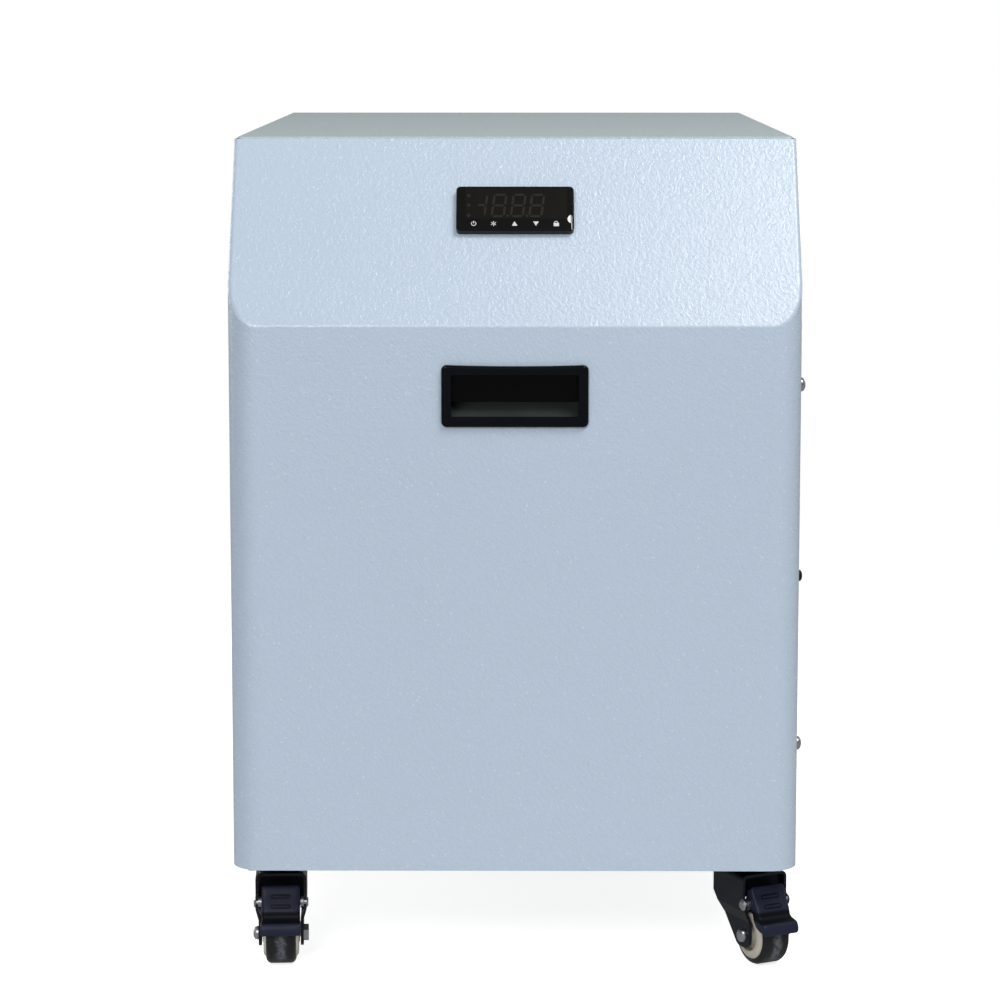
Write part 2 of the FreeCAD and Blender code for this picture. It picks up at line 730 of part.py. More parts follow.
def make_recess_handle():
    """A moulded pull: proud rim, deep pocket with a sloping floor and a finger hollow behind the top."""
    rim = plate_shape(HANDLE_W, HANDLE_H, HANDLE_CORNER_R, 0, HANDLE_RIM_T)
    face_edges = [edge for edge in rim.Edges if edge.BoundBox.ZMin > HANDLE_RIM_T - 0.01]
    rim = rim.makeChamfer(HANDLE_RIM_T * 0.35, face_edges)
    body_w = handle_cut_w() - 2 * FIT
    body_h = handle_cut_h() - 2 * FIT
    body = plate_shape(body_w, body_h, HANDLE_CUT_R, -HANDLE_POCKET - HANDLE_WALL, 1)
    cup = body_h / 2 + HANDLE_RISE
    lip = SHEET + 1.5
    hood = block(-body_w / 2, body_h / 2 - 4, -HANDLE_POCKET - HANDLE_WALL, body_w / 2, cup, -lip)
    solid = joined([rim, body, hood])
    half_w = HANDLE_W / 2 - HANDLE_RIM
    half_h = HANDLE_H / 2 - HANDLE_RIM
    hollow = [(half_h, HANDLE_RIM_T + 1, 0), (half_h, -lip - HANDLE_WALL, 0),
              (cup - HANDLE_WALL, -lip - HANDLE_WALL, 0),
              (cup - HANDLE_WALL, -HANDLE_POCKET, 4), (-half_h + HANDLE_FLOOR, -HANDLE_POCKET, 4),
              (-half_h, -3, 3), (-half_h, HANDLE_RIM_T + 1, 0)]
    pocket = outline(hollow, lambda p: V(-half_w, p.x, p.y)).extrude(V(2 * half_w, 0, 0))
    return on_front(solid.cut(pocket))


def make_controller_housing():
    """Bezel and long case in one moulding, with a shallow seat for the window."""
    bezel = plate_shape(CTRL_W, CTRL_H, CTRL_CORNER_R, 0, CTRL_RIM_T)
    face_edges = [edge for edge in bezel.Edges if edge.BoundBox.ZMin > CTRL_RIM_T - 0.01]
    bezel = bezel.makeChamfer(0.6, face_edges)
    seat = plate_shape(CTRL_W - 2 * CTRL_BORDER, CTRL_H - 2 * CTRL_BORDER, CTRL_CORNER_R - 1,
                       CTRL_RIM_T - CTRL_WINDOW_T, CTRL_RIM_T + 1)
    case = plate_shape(CTRL_CUT_W - 2 * FIT, CTRL_CUT_H - 2 * FIT, 0, -CTRL_DEPTH, 0.5)
    grooves = [block(side * CTRL_CUT_W / 2 - 1.5, -4, -CTRL_DEPTH + 6, side * CTRL_CUT_W / 2 + 1.5, 4, -6)
               for side in (-1, 1)]
    return on_slant(joined([bezel, case]).cut(seat).cut(Part.makeCompound(grooves)))


def make_controller_window():
    """The flat printed window that is also the touch membrane."""
    inset = 2 * (CTRL_BORDER + FIT)
    window = plate_shape(CTRL_W - inset, CTRL_H - inset, CTRL_CORNER_R - 1 - FIT,
                         CTRL_RIM_T - CTRL_WINDOW_T, CTRL_RIM_T)
    return on_slant(window)


def make_controller_clips():
    """Two sliding brackets that pull the controller against the sheet from behind."""
    clips = []
    for side in (-1, 1):
        inner = side * (CTRL_CUT_W / 2 - 1.4)
        outer = side * (CTRL_CUT_W / 2 + 4)
        x0, x1 = sorted((inner, outer))
        clip = block(x0, -3.8, -34, x1, 3.8, -6)
        foot = sorted((side * (CTRL_CUT_W / 2 + FIT), side * (CTRL_CUT_W / 2 + 9)))
        shoe = block(foot[0], -9, -9, foot[1], 9, -SHEET)
        clips.append(on_slant(joined([clip, shoe])))
    return grouped(clips)


# Casters

def caster_spot(name):
    """The swivel axis of one caster."""
    x = -CASTER_X if name.endswith("left") else CASTER_X
    y = FRONT_Y + CASTER_INSET if name.startswith("front") else REAR_Y - CASTER_INSET
    return x, y


def caster_bolt_spots(name):
    """The four bolts of one caster plate."""
    x, y = caster_spot(name)
    return [(x + sx * CASTER_BOLTS_W / 2, y + sy * CASTER_BOLTS_L / 2) for sx in (-1, 1) for sy in (-1, 1)]


def turned_to(shape, name):
    """Turns a caster piece to its heading and carries it to its swivel axis."""
    x, y = caster_spot(name)
    turned_shape = shape.copy()
    turned_shape.rotate(V(0, 0, 0), V(0, 0, 1), HEADINGS[name])
    turned_shape.translate(V(x, y, 0))
    return turned_shape


def make_caster_plates():
    """Fixed top plates, each with its dished raceway and riveted king pin."""
    plates = []
    race_top = CASTER_H - PLATE_T
    race_low = CROWN_Z + LOOSE
    drop = race_top - race_low
    pin_head_z = CROWN_Z - FORK_T - LOOSE
    for name in HEADINGS:
        x, y = caster_spot(name)
        plate = plate_shape(PLATE_W, PLATE_L, PLATE_R, race_top, CASTER_H)
        plate.translate(V(x, y, 0))
        for bx, by in caster_bolt_spots(name):
            plate = plate.cut(rod((bx, by, race_top - 1), (0, 0, 1), CASTER_BOLT_R + FIT, PLATE_T + 2))
        spindle = turned([(drop + 0.5, 0, 0), (drop + 0.5, RACE_R + 3, 0), (drop, RACE_R + 3, 0),
                          (drop * 0.6, RACE_R, 0), (0, RACE_R, 0), (0, KING_PIN_R, 0),
                          (pin_head_z - race_low, KING_PIN_R, 0), (pin_head_z - race_low, KING_HEAD_R, 0),
                          (pin_head_z - race_low - KING_HEAD_T, KING_HEAD_R - 1, 0),
                          (pin_head_z - race_low - KING_HEAD_T, 0, 0)], (x, y, race_low), (0, 0, 1))
        plates.append(joined([plate, spindle]))
    return grouped(plates)


def make_caster_bolts():
    """Hexagon bolts up through plate and tray, each with its nut run on flush."""
    bolts = []
    low = CASTER_H - PLATE_T
    for name in HEADINGS:
        for x, y in caster_bolt_spots(name):
            head = hexagon((x, y, low - CASTER_HEAD_T), (0, 0, 1), CASTER_HEX_AF, CASTER_HEAD_T)
            shank = rod((x, y, low - 0.5), (0, 0, 1), CASTER_BOLT_R, PAN_TOP - low + 1)
            nut = hexagon((x, y, PAN_TOP), (0, 0, 1), CASTER_HEX_AF, CASTER_NUT_T)
            bolts.append(joined([head, shank, nut]))
    return grouped(bolts)


def make_fork(name):
    """A pressed fork: crown and two legs that draw in towards the axle."""
    wide = FORK_W / 2
    narrow = FORK_LEG_W / 2
    t = FORK_T

    bend = WHEEL_R + FORK_BEND_UP
    low = bend - FORK_BEND_DROP

    def bent(inset, crown_r):
        w = wide - inset
        n = narrow - inset
        top = CROWN_Z - inset
        return front_prism([(-w, top, crown_r), (-w, bend, 0), (-n, low, 0), (-n, 0, 0),
                            (n, 0, 0), (n, low, 0), (w, bend, 0), (w, top, crown_r)],
                           -TRAIL - WHEEL_R, FORK_BACK + 1)

    sheet = bent(0, 4).cut(bent(t, 2))
    eye = WHEEL_R - FORK_EYE_R
    shoulder = WHEEL_R + FORK_SHOULDER_UP
    side_view = [(FORK_BACK, CROWN_Z + 1, 0), (FORK_BACK, shoulder, 0), (-TRAIL + FORK_EYE_R - 0.8, eye, 7),
                 (-TRAIL - FORK_EYE_R, eye, 7), (-TRAIL - FORK_EYE_R, WHEEL_R + 7.5, 0),
                 (-FORK_FRONT, shoulder + 4, 0), (-FORK_FRONT, CROWN_Z + 1, 0)]
    fork = sheet.common(side_prism(side_view, -wide - 1, wide + 1))
    fork = fork.cut(rod((0, 0, CROWN_Z - t - 1), (0, 0, 1), KING_PIN_R + RUNNING, t + 2))
    fork = fork.cut(rod((-wide - 1, -TRAIL, WHEEL_R), (1, 0, 0), AXLE_R + FIT, FORK_W + 2))
    if name in BRAKED:
        fork = fork.cut(rod((-wide - 1, -PEDAL_PIVOT_V, PEDAL_PIVOT_Z), (1, 0, 0), RIVET_R + FIT, FORK_W + 2))
    return turned_to(fork, name)


def make_caster_pins(name):
    """The axle bolt and its nut, and on a braked caster the two pedal rivets."""
    narrow = FORK_LEG_W / 2
    bolt = turned([(-AXLE_HEAD_T, 0, 0), (-AXLE_HEAD_T, AXLE_HEAD_R * 0.5, 0),
                   (-AXLE_HEAD_T * 0.7, AXLE_HEAD_R * 0.9, 0), (-AXLE_HEAD_T * 0.3, AXLE_HEAD_R, 0),
                   (0, AXLE_HEAD_R, 0), (0, AXLE_R, 0), (FORK_LEG_W + AXLE_NUT_T, AXLE_R, 0),
                   (FORK_LEG_W + AXLE_NUT_T, 0, 0)], (-narrow, -TRAIL, WHEEL_R), (1, 0, 0))
    nut = hexagon((narrow, -TRAIL, WHEEL_R), (1, 0, 0), AXLE_NUT_AF, AXLE_NUT_T)
    pins = [joined([bolt, nut])]
    if name in BRAKED:
        wide = FORK_W / 2
        washer = FORK_T + pedal_gap() - LOOSE
        tip = wide - PEDAL_W / 2 + PEDAL_EAR_T
        for side in (-1, 1):
            pins.append(turned([(-RIVET_HEAD_T, 0, 0), (-RIVET_HEAD_T, RIVET_HEAD_R * 0.65, 0),
                                (0, RIVET_HEAD_R, 0),
                                (0, RIVET_R, 0), (FORK_T, RIVET_R, 0), (FORK_T, RIVET_HEAD_R, 0),
                                (washer, RIVET_HEAD_R, 0), (washer, RIVET_R, 0), (tip, RIVET_R, 0),
                                (tip, 0, 0)],
                               (side * wide, -PEDAL_PIVOT_V, PEDAL_PIVOT_Z), (-side, 0, 0)))
    return turned_to(grouped(pins), name)


def pedal_gap():
    """Room between a pedal ear and the fork leg beside it."""
    return FORK_W / 2 - FORK_T - PEDAL_W / 2


def make_tyre(name):
    """The soft tread with its shoulders eased off."""
    half = TREAD_W / 2
    profile = [(-half, SEAT_R, 0), (half, SEAT_R, 0), (half, WHEEL_R - SHOULDER, 0),
               (half - SHOULDER * 0.3, WHEEL_R - SHOULDER * 0.3, 0), (half - SHOULDER, WHEEL_R, 0),
               (-half + SHOULDER, WHEEL_R, 0), (-half + SHOULDER * 0.3, WHEEL_R - SHOULDER * 0.3, 0),
               (-half, WHEEL_R - SHOULDER, 0)]
    return turned_to(turned(profile, (0, -TRAIL, WHEEL_R), (1, 0, 0)), name)


def make_wheel_core(name):
    """The moulded core: hub, dished webs and a pale ring each side that stands proud of the tread."""
    half = HUB_W / 2
    ring = half - 0.6
    web = half - WEB_SETBACK
    side = [(half, AXLE_R + RUNNING, 0), (half, HUB_R, 0), (web, HUB_R + 0.7, 0), (web, RING_R - 0.8, 0),
            (ring, RING_R, 0), (ring, RING_R + RING_W, 0), (TREAD_W / 2, SEAT_R, 0)]
    profile = side + [(-along, radius, 0) for along, radius, _ in reversed(side)]
    return turned_to(turned(profile, (0, -TRAIL, WHEEL_R), (1, 0, 0)), name)


def from_pivot(points):
    """Corners given forward of and above the pedal's pivot, as corners in y and z."""
    return [(-PEDAL_PIVOT_V - v, PEDAL_PIVOT_Z + z, radius) for v, z, radius in points]


def make_brake_pedal(name):
    """A moulded pedal: ribbed tread plate, hollow under it, broad lip and two ears on the pivot."""
    top = (3.0, 11.7)
    knee = (12.0, -2.5)
    side_view = from_pivot([top + (0.8,), knee + (3.0,), (14.2, -6.1, 0), (18.2, -8.9, 0),
                            (23.2, -13.1, 1.8), (22.4, -17.3, 0.8), (20.0, -17.1, 0), (19.9, -14.1, 0),
                            (16.4, -11.2, 0), (12.2, -6.7, 0), (10.0, -3.7, 0), (1.1, 10.5, 0)])
    plate = side_prism(side_view, -PEDAL_LIP_W / 2, PEDAL_LIP_W / 2)
    trimmed = from_pivot([(14.6, -7.3, 0), (-2.0, -7.3, 0), (-2.0, 13.5, 0), (14.6, 13.5, 0)])
    for side in (-1, 1):
        x0, x1 = sorted((side * PEDAL_W / 2, side * (PEDAL_LIP_W / 2 + 1)))
        plate = plate.cut(side_prism(trimmed, x0, x1))
    ears = []
    for side in (-1, 1):
        x0, x1 = sorted((side * PEDAL_W / 2, side * (PEDAL_W / 2 - PEDAL_EAR_T)))
        ears.append(side_prism(from_pivot([(2.0, 10.9, 0), (11.4, -3.1, 0), (4.5, -4.5, 0), (-4.4, -4.5, 3.6),
                                           (-4.4, 4.1, 3.6), (-1.0, 10.5, 0)]), x0, x1))
    ribs = []
    for z in PEDAL_RIB_DROP:
        share = (top[1] + z) / (top[1] - knee[1])
        v = top[0] + share * (knee[0] - top[0])
        ribs.append(rod((-PEDAL_RIB_L / 2, -PEDAL_PIVOT_V - v, PEDAL_PIVOT_Z - z), (1, 0, 0),
                        PEDAL_RIB_R, PEDAL_RIB_L))
    pedal = joined([plate] + ears + ribs)
    pedal = pedal.cut(rod((-PEDAL_W, -PEDAL_PIVOT_V, PEDAL_PIVOT_Z), (1, 0, 0), RIVET_R + RUNNING, 2 * PEDAL_W))
    return turned_to(pedal, name)


# Fan and condenser

def make_fan_shroud():
    """A square duct from the coil to the back, with a round mouth."""
    half = SHROUD_W / 2
    y1 = REAR_Y - SHEET
    duct = block(FAN_X - half, SHROUD_FRONT, FAN_Z - half, FAN_X + half, y1, FAN_Z + half)
    inside = half - SHROUD_T
    duct = duct.cut(block(FAN_X - inside, SHROUD_FRONT - 1, FAN_Z - inside,
                          FAN_X + inside, y1 - SHROUD_T, FAN_Z + inside))
    duct = duct.cut(rod((FAN_X, y1 - SHROUD_T - 1, FAN_Z), (0, 1, 0), FAN_OPENING_R, SHROUD_T + 2))
    return screw_holes(duct, rear_screw_paths(), SMALL_R)


def motor_front():
    """The front end of the fan motor."""
    return REAR_Y - SHEET - SHROUD_T - FAN_HUB_L - MOTOR_L - 10


def make_fan_motor():
    """The motor can on a pressed cross whose ends sit on the duct walls."""
    y0 = motor_front()
    can = turned([(0, 0, 0), (0, MOTOR_R - 8, 0), (6, MOTOR_R, 0), (MOTOR_L - 4, MOTOR_R, 0),
                  (MOTOR_L, MOTOR_R - 8, 0), (MOTOR_L, FAN_SHAFT_R, 0), (MOTOR_L + FAN_SHAFT_L, FAN_SHAFT_R, 0),
                  (MOTOR_L + FAN_SHAFT_L, 0, 0)], (FAN_X, y0, FAN_Z), (0, 1, 0))
    arm_y = y0 + MOTOR_L / 2
    reach = SHROUD_W / 2 - SHROUD_T
    half = MOTOR_ARM_W / 2
    arms = [block(FAN_X - reach, arm_y, FAN_Z - half, FAN_X + reach, arm_y + MOTOR_ARM_T, FAN_Z + half),
            block(FAN_X - half, arm_y, FAN_Z - reach, FAN_X + half, arm_y + MOTOR_ARM_T, FAN_Z + reach)]
    return joined([can] + arms)


def make_fan_rotor():
    """Hub and pitched blades, pushed on the motor shaft."""
    y0 = motor_front() + MOTOR_L + FAN_HUB_GAP
    bore = FAN_SHAFT_R + RUNNING
    end = FAN_SHAFT_L - FAN_HUB_GAP + 1
    hub = turned([(0, bore, 0), (0, FAN_HUB_R, 0), (FAN_HUB_L - 10, FAN_HUB_R, 0),
                  (FAN_HUB_L - 4, FAN_HUB_R - 8, 0), (FAN_HUB_L - 4, 0, 0), (end, 0, 0), (end, bore, 0)],
                 (FAN_X, y0, FAN_Z), (0, 1, 0))
    tip_r = FAN_OPENING_R - FAN_TIP_GAP
    y_mid = y0 + FAN_HUB_L / 2 - 2
    blades = []
    for i in range(BLADES):
        sections = []
        for share in (0, 0.5, 1):
            radius = FAN_HUB_R - 4 + share * (tip_r - FAN_HUB_R + 2)
            chord = ROOT_CHORD + share * (TIP_CHORD - ROOT_CHORD)
            pitch = ROOT_PITCH + share * (TIP_PITCH - ROOT_PITCH)
            sections.append(blade_section(radius, chord, pitch, y_mid))
        blade = Part.makeLoft(sections, True, True)
        blade.rotate(V(FAN_X, 0, FAN_Z), V(0, 1, 0), i * 360 / BLADES)
        blades.append(blade)
    return joined([hub] + blades)


def blade_section(radius, chord, pitch_deg, y_mid):
    """A thin cambered section across a blade at a distance from the fan axis."""
    pitch = math.radians(pitch_deg)
    points = []
    for along, bow in ((-0.5, 0.0), (0.0, 0.08), (0.5, 0.0)):
        points.append((along * chord, bow * chord + BLADE_T / 2))
    for along, bow in ((0.5, 0.0), (0.0, 0.08), (-0.5, 0.0)):
        points.append((along * chord, bow * chord - BLADE_T / 2))
    turned_points = []
    for a, b in points:
        x = a * math.cos(pitch) - b * math.sin(pitch)
        y = a * math.sin(pitch) + b * math.cos(pitch)
        turned_points.append(V(FAN_X + x, y_mid + y, FAN_Z + radius))
    top = Part.Arc(*turned_points[:3]).toShape()
    side = Part.LineSegment(turned_points[2], turned_points[3]).toShape()
    low = Part.Arc(*turned_points[3:]).toShape()
    close = Part.LineSegment(turned_points[5], turned_points[0]).toShape()
    return Part.Wire([top, side, low, close])


def make_fan_grille():
    """A flat punched guard: concentric bars held by four spokes and a rim with screw holes."""
    y = REAR_Y
    plate = rod((FAN_X, y, FAN_Z), (0, 1, 0), GRILLE_R, GRILLE_T)
    open_r = FAN_OPENING_R - 2
    pitch = (open_r - GRILLE_HUB_R) / GRILLE_BARS
    slots = []
    for i in range(GRILLE_BARS):
        outer = open_r - i * pitch
        inner = outer - pitch + GRILLE_BAR_W
        slots.append(tube((FAN_X, y - 1, FAN_Z), (0, 1, 0), outer, inner, GRILLE_T + 2))
    spokes = []
    for angle in (45, 135):
        spoke = block(FAN_X - GRILLE_R, y - 2, FAN_Z - GRILLE_SPOKE_W / 2,
                      FAN_X + GRILLE_R, y + 4, FAN_Z + GRILLE_SPOKE_W / 2)
        spoke.rotate(V(FAN_X, 0, FAN_Z), V(0, 1, 0), angle)
        spokes.append(spoke)
    cross = spokes[0].fuse(spokes[1])
    plate = plate.cut(Part.makeCompound([slot.cut(cross) for slot in slots]))
    return screw_holes(plate, rear_screw_paths(), SMALL_R)


def pass_height(i):
    """Height of one pass of the condenser tube."""
    step = (SHROUD_W - 2 * PASS_INSET) / (PASSES - 1)
    return FAN_Z - SHROUD_W / 2 + PASS_INSET + i * step


def coil_y():
    """The middle of the condenser from front to back."""
    return COIL_FRONT + COIL_D / 2


def make_condenser_fins():
    """Upright fins pressed on the tube between two folded end plates."""
    half = SHROUD_W / 2
    z0 = COIL_Z
    y0 = COIL_FRONT
    plates = []
    for side in (-1, 1):
        x = FAN_X + side * (half - COIL_END_IN)
        web = sorted((x, x + side * END_PLATE_T))
        ear = sorted((x, FAN_X + side * half))
        end = joined([block(web[0], y0, z0, web[1], SHROUD_FRONT, z0 + SHROUD_W),
                      block(ear[0], SHROUD_FRONT - END_PLATE_T, z0, ear[1], SHROUD_FRONT, z0 + SHROUD_W)])
        plates.append(end)
    count = int((SHROUD_W - 2 * COIL_END_IN - 4) / FIN_PITCH)
    start = FAN_X - (count - 1) * FIN_PITCH / 2
    for i in range(count):
        x = start + i * FIN_PITCH
        plates.append(block(x - FIN_T / 2, y0 + 1, z0 + 4, x + FIN_T / 2, SHROUD_FRONT - 3, z0 + SHROUD_W - 4))
    return grouped(plates)


def make_condenser_tube():
    """One long copper tube that runs to and fro through the fins."""
    y = coil_y()
    reach = SHROUD_W / 2 - COIL_END_IN + U_BEND_OUT
    points = [(tube_end(), y, pass_height(0))]
    for i in range(PASSES - 1):
        x = FAN_X - reach if i % 2 == 0 else FAN_X + reach
        points += [(x, y, pass_height(i)), (x, y, pass_height(i + 1))]
    points.append((tube_end(), y, pass_height(PASSES - 1)))
    return pipe(points, TUBE_R, U_BEND_R)


def make_coil_rails():
    """Two folded rails on the tray that carry the coil and the fan duct clear of the caster bolts."""
    rails = []
    half = RAIL_W / 2
    foot = half + RAIL_FOOT
    for x in (FAN_X - SHROUD_W / 4, FAN_X + SHROUD_W / 4):
        inside = [(x - foot, PAN_TOP, 0), (x - half, PAN_TOP, 0), (x - half, COIL_Z - POST_T, 0)]
        outside = [(x - half - POST_T, COIL_Z, 0), (x - half - POST_T, PAN_TOP + POST_T, 0),
                   (x - foot, PAN_TOP + POST_T, 0)]
        left = outside + inside
        right = [(2 * x - a, z, radius) for a, z, radius in reversed(left)]
        rails.append(front_prism(left + right, COIL_FRONT, REAR_Y - SHEET - FIT - PAN_T - 1))
    return grouped(rails)


# Cooling circuit

def comp_y():
    """The compressor's axis."""
    return FRONT_Y + COMP_SETBACK


def compressor_feet_spots():
    """Three feet around the compressor."""
    reach = COMP_R + 10
    return [(COMP_X + reach * math.cos(math.radians(a)), comp_y() + reach * math.sin(math.radians(a)))
            for a in (90, 210, 330)]


def make_compressor():
    """A welded can with a domed top on a three-cornered base plate, with its suction bottle."""
    z0 = compressor_base_z()
    reach = COMP_R * 1.9
    corners = []
    for angle in (90, 210, 330):
        a = math.radians(angle)
        corners.append((COMP_X + reach * math.cos(a), comp_y() + reach * math.sin(a), 14))
    base = plan_prism(corners, z0, z0 + COMP_BASE_T)
    bottle = turned([(0, 0, 0), (0, BOTTLE_R - 8, 0), (8, BOTTLE_R, 0), (BOTTLE_L - 10, BOTTLE_R, 0),
                     (BOTTLE_L, BOTTLE_R - 12, 0), (BOTTLE_L, 0, 0)],
                    (COMP_X, bottle_y(), z0 + BOTTLE_UP), (0, 0, 1))
    strap_z = z0 + BOTTLE_UP + BOTTLE_L / 2
    strap = block(COMP_X - STRAP_W / 2, bottle_y(), strap_z - STRAP_H / 2,
                  COMP_X + STRAP_W / 2, comp_y() - COMP_R + 4, strap_z + STRAP_H / 2)
    shape = joined([base, compressor_can(), bottle, strap])
    for x, y in compressor_feet_spots():
        shape = shape.cut(rod((x, y, z0 - 1), (0, 0, 1), COMP_FOOT_R - 2.5, COMP_BASE_T + 2))
    return shape


def bottle_y():
    """The suction bottle's axis, in front of the can."""
    return comp_y() - COMP_R - BOTTLE_R - BOTTLE_GAP


def compressor_base_z():
    """Where the compressor's base plate rests on its feet."""
    return PAN_TOP + COMP_FOOT_H


def compressor_can():
    """The can with its weld bead, its stepped dome and the discharge stub."""
    seam = COMP_H * 0.72
    return turned([(0, 0, 0), (0, COMP_R - 8, 0), (8, COMP_R, 0), (seam, COMP_R, 0), (seam, COMP_R + 1.5, 0),
                   (seam + 3, COMP_R + 1.5, 0), (seam + 3, COMP_R, 0), (COMP_H - 28, COMP_R, 0),
                   (COMP_H - 10, COMP_R * 0.78, 0), (COMP_H, COMP_R * 0.4, 0), (COMP_H, PIPE_R + 1, 0),
                   (COMP_H + COMP_STUB, PIPE_R + 1, 0), (COMP_H + COMP_STUB, 0, 0)],
                  (COMP_X, comp_y(), compressor_base_z() + 1), (0, 0, 1))


def make_compressor_feet():
    """Rubber grommets between the base plate and the tray."""
    feet = []
    neck = COMP_FOOT_R - 2.5 - FIT
    top = COMP_FOOT_H + COMP_BASE_T + 1
    for x, y in compressor_feet_spots():
        feet.append(turned([(0, SMALL_R + FIT, 0), (0, COMP_FOOT_R, 0), (COMP_FOOT_H, COMP_FOOT_R, 0),
                            (COMP_FOOT_H, neck, 0), (top, neck, 0), (top, SMALL_R + FIT, 0)],
                           (x, y, PAN_TOP), (0, 0, 1)))
    return grouped(feet)


def make_terminal_cover():
    """The plastic cover over the compressor's terminals."""
    z0 = compressor_base_z() + COMP_H
    cover = turned([(0, 0, 0), (0, TERMINAL_R, 0), (12, TERMINAL_R, 0), (14, TERMINAL_R - 3, 0), (14, 0, 0)],
                   (COMP_X + 27, comp_y() - 6, z0 - 4), (0, 0, 1))
    return cover.cut(compressor_can())


def evap_y():
    """The middle of the heat exchanger."""
    return FRONT_Y + EVAP_SETBACK


def evap_port_spots():
    """The four stubs on the heat exchanger's front: water on the right, refrigerant on the left."""
    z_low = pass_height(0)
    z_high = 2 * PAN_TOP + 2 * JACKET_T + EVAP_H - z_low
    water_x = EVAP_X + EVAP_PORT_OUT
    gas_x = EVAP_X - EVAP_PORT_OUT
    return {"water_in": (water_x, z_low), "water_out": (water_x, z_high),
            "gas_in": (gas_x, z_low), "gas_out": (gas_x, z_high)}


def evap_face():
    """The front of the heat exchanger's plates."""
    return evap_y() - EVAP_DEPTH / 2


def make_plate_exchanger():
    """A brazed stack of plates with grooved sides and four stubs."""
    z0 = PAN_TOP + JACKET_T
    y0 = evap_face()
    stack = plan_prism([(EVAP_X - EVAP_W / 2, y0, 0), (EVAP_X + EVAP_W / 2, y0, 0),
                        (EVAP_X + EVAP_W / 2, y0 + EVAP_DEPTH, 0), (EVAP_X - EVAP_W / 2, y0 + EVAP_DEPTH, 0)],
                       z0, z0 + EVAP_H)
    upright = [edge for edge in stack.Edges if edge.BoundBox.YLength > EVAP_DEPTH - 1]
    stack = stack.makeFillet(10, upright)
    stubs = []
    for key, (x, z) in evap_port_spots().items():
        radius = SPIGOT_R if key.startswith("water") else PIPE_R + 1
        stubs.append(rod((x, y0 + 1, z), (0, -1, 0), radius, EVAP_STUB + 1))
    return joined([stack] + stubs)


def make_evaporator_jacket():
    """The foam jacket around the heat exchanger."""
    z0 = PAN_TOP
    gap = FIT
    outer = block(EVAP_X - EVAP_W / 2 - JACKET_T, evap_face() - JACKET_T, z0,
                  EVAP_X + EVAP_W / 2 + JACKET_T, evap_face() + EVAP_DEPTH + JACKET_T,
                  z0 + EVAP_H + 2 * JACKET_T)
    upright = [edge for edge in outer.Edges if edge.BoundBox.ZLength > EVAP_H]
    outer = outer.makeFillet(8, upright)
    inner = block(EVAP_X - EVAP_W / 2 - gap, evap_face() - gap, z0 + JACKET_T - gap,
                  EVAP_X + EVAP_W / 2 + gap, evap_face() + EVAP_DEPTH + gap, z0 + JACKET_T + EVAP_H + gap)
    jacket = outer.cut(inner)
    for key, (x, z) in evap_port_spots().items():
        radius = SPIGOT_R if key.startswith("water") else PIPE_R + 1
        jacket = jacket.cut(rod((x, evap_face() + 5, z), (0, -1, 0), radius + FIT, JACKET_T + 10))
    return jacket


def tube_end():
    """Where the condenser tube's two ends come out on the right."""
    return FAN_X + SHROUD_W / 2 - COIL_END_IN + TUBE_TAIL


def make_discharge_tube():
    """Hot gas from the compressor's top over to the condenser's upper end."""
    top = compressor_base_z() + 1 + COMP_H + COMP_STUB
    high = top + DISCHARGE_RISE
    x = tube_end() + PIPE_TURN_OUT
    z = pass_height(PASSES - 1)
    points = [(COMP_X, comp_y(), top), (COMP_X, comp_y(), high), (x, comp_y(), high), (x, coil_y(), high),
              (x, coil_y(), z), (tube_end(), coil_y(), z)]
    return pipe(points, PIPE_R, PIPE_BEND)


def drier_y():
    """The filter drier's axis, between the heat exchanger and the coil."""
    return (evap_face() + EVAP_DEPTH + JACKET_T + COIL_FRONT) / 2


def drier_z():
    """The filter drier's height."""
    return pass_height(0)


def drier_end():
    """The drier's right end."""
    return EVAP_X + DRIER_OUT


def make_liquid_tube():
    """Condensed liquid from the coil's lower end forward to the drier."""
    x = tube_end() + PIPE_TURN_OUT
    points = [(tube_end(), coil_y(), drier_z()), (x, coil_y(), drier_z()), (x, drier_y(), drier_z()),
              (drier_end(), drier_y(), drier_z())]
    return pipe(points, PIPE_R, PIPE_BEND)


def make_filter_drier():
    """A spun copper body with drawn ends, cradled on a folded clip from the tray."""
    x0 = drier_end() - DRIER_L
    neck = PIPE_R + 1
    x = x0 + DRIER_L / 2
    full = DRIER_NECK_L + DRIER_CONE_L
    half = DRIER_CLIP_W / 2
    body = turned([(0, 0, 0), (0, neck, 0), (DRIER_NECK_L, neck, 0), (full, DRIER_R, 0),
                   (DRIER_L - full, DRIER_R, 0), (DRIER_L - DRIER_NECK_L, neck, 0), (DRIER_L, neck, 0),
                   (DRIER_L, 0, 0)], (x0, drier_y(), drier_z()), (1, 0, 0))
    clip = block(x - half, drier_y() - 1, PAN_TOP, x + half, drier_y() + 1, drier_z() - DRIER_R + 2)
    foot = block(x - half, drier_y() - half, PAN_TOP, x + half, drier_y() + 1, PAN_TOP + POST_T)
    return joined([body, clip, foot])


def make_capillary():
    """The thin metering tube from the drier to the heat exchanger."""
    x0 = drier_end() - DRIER_L
    x, z = evap_port_spots()["gas_in"]
    turn_x = x0 - PIPE_TURN_OUT
    front = evap_face() - EVAP_STUB - CAPILLARY_DROP
    points = [(x0, drier_y(), z), (turn_x, drier_y(), z), (turn_x, front, z), (x, front, z),
              (x, evap_face() - EVAP_STUB, z)]
    return pipe(points, CAPILLARY_R, CAPILLARY_BEND)


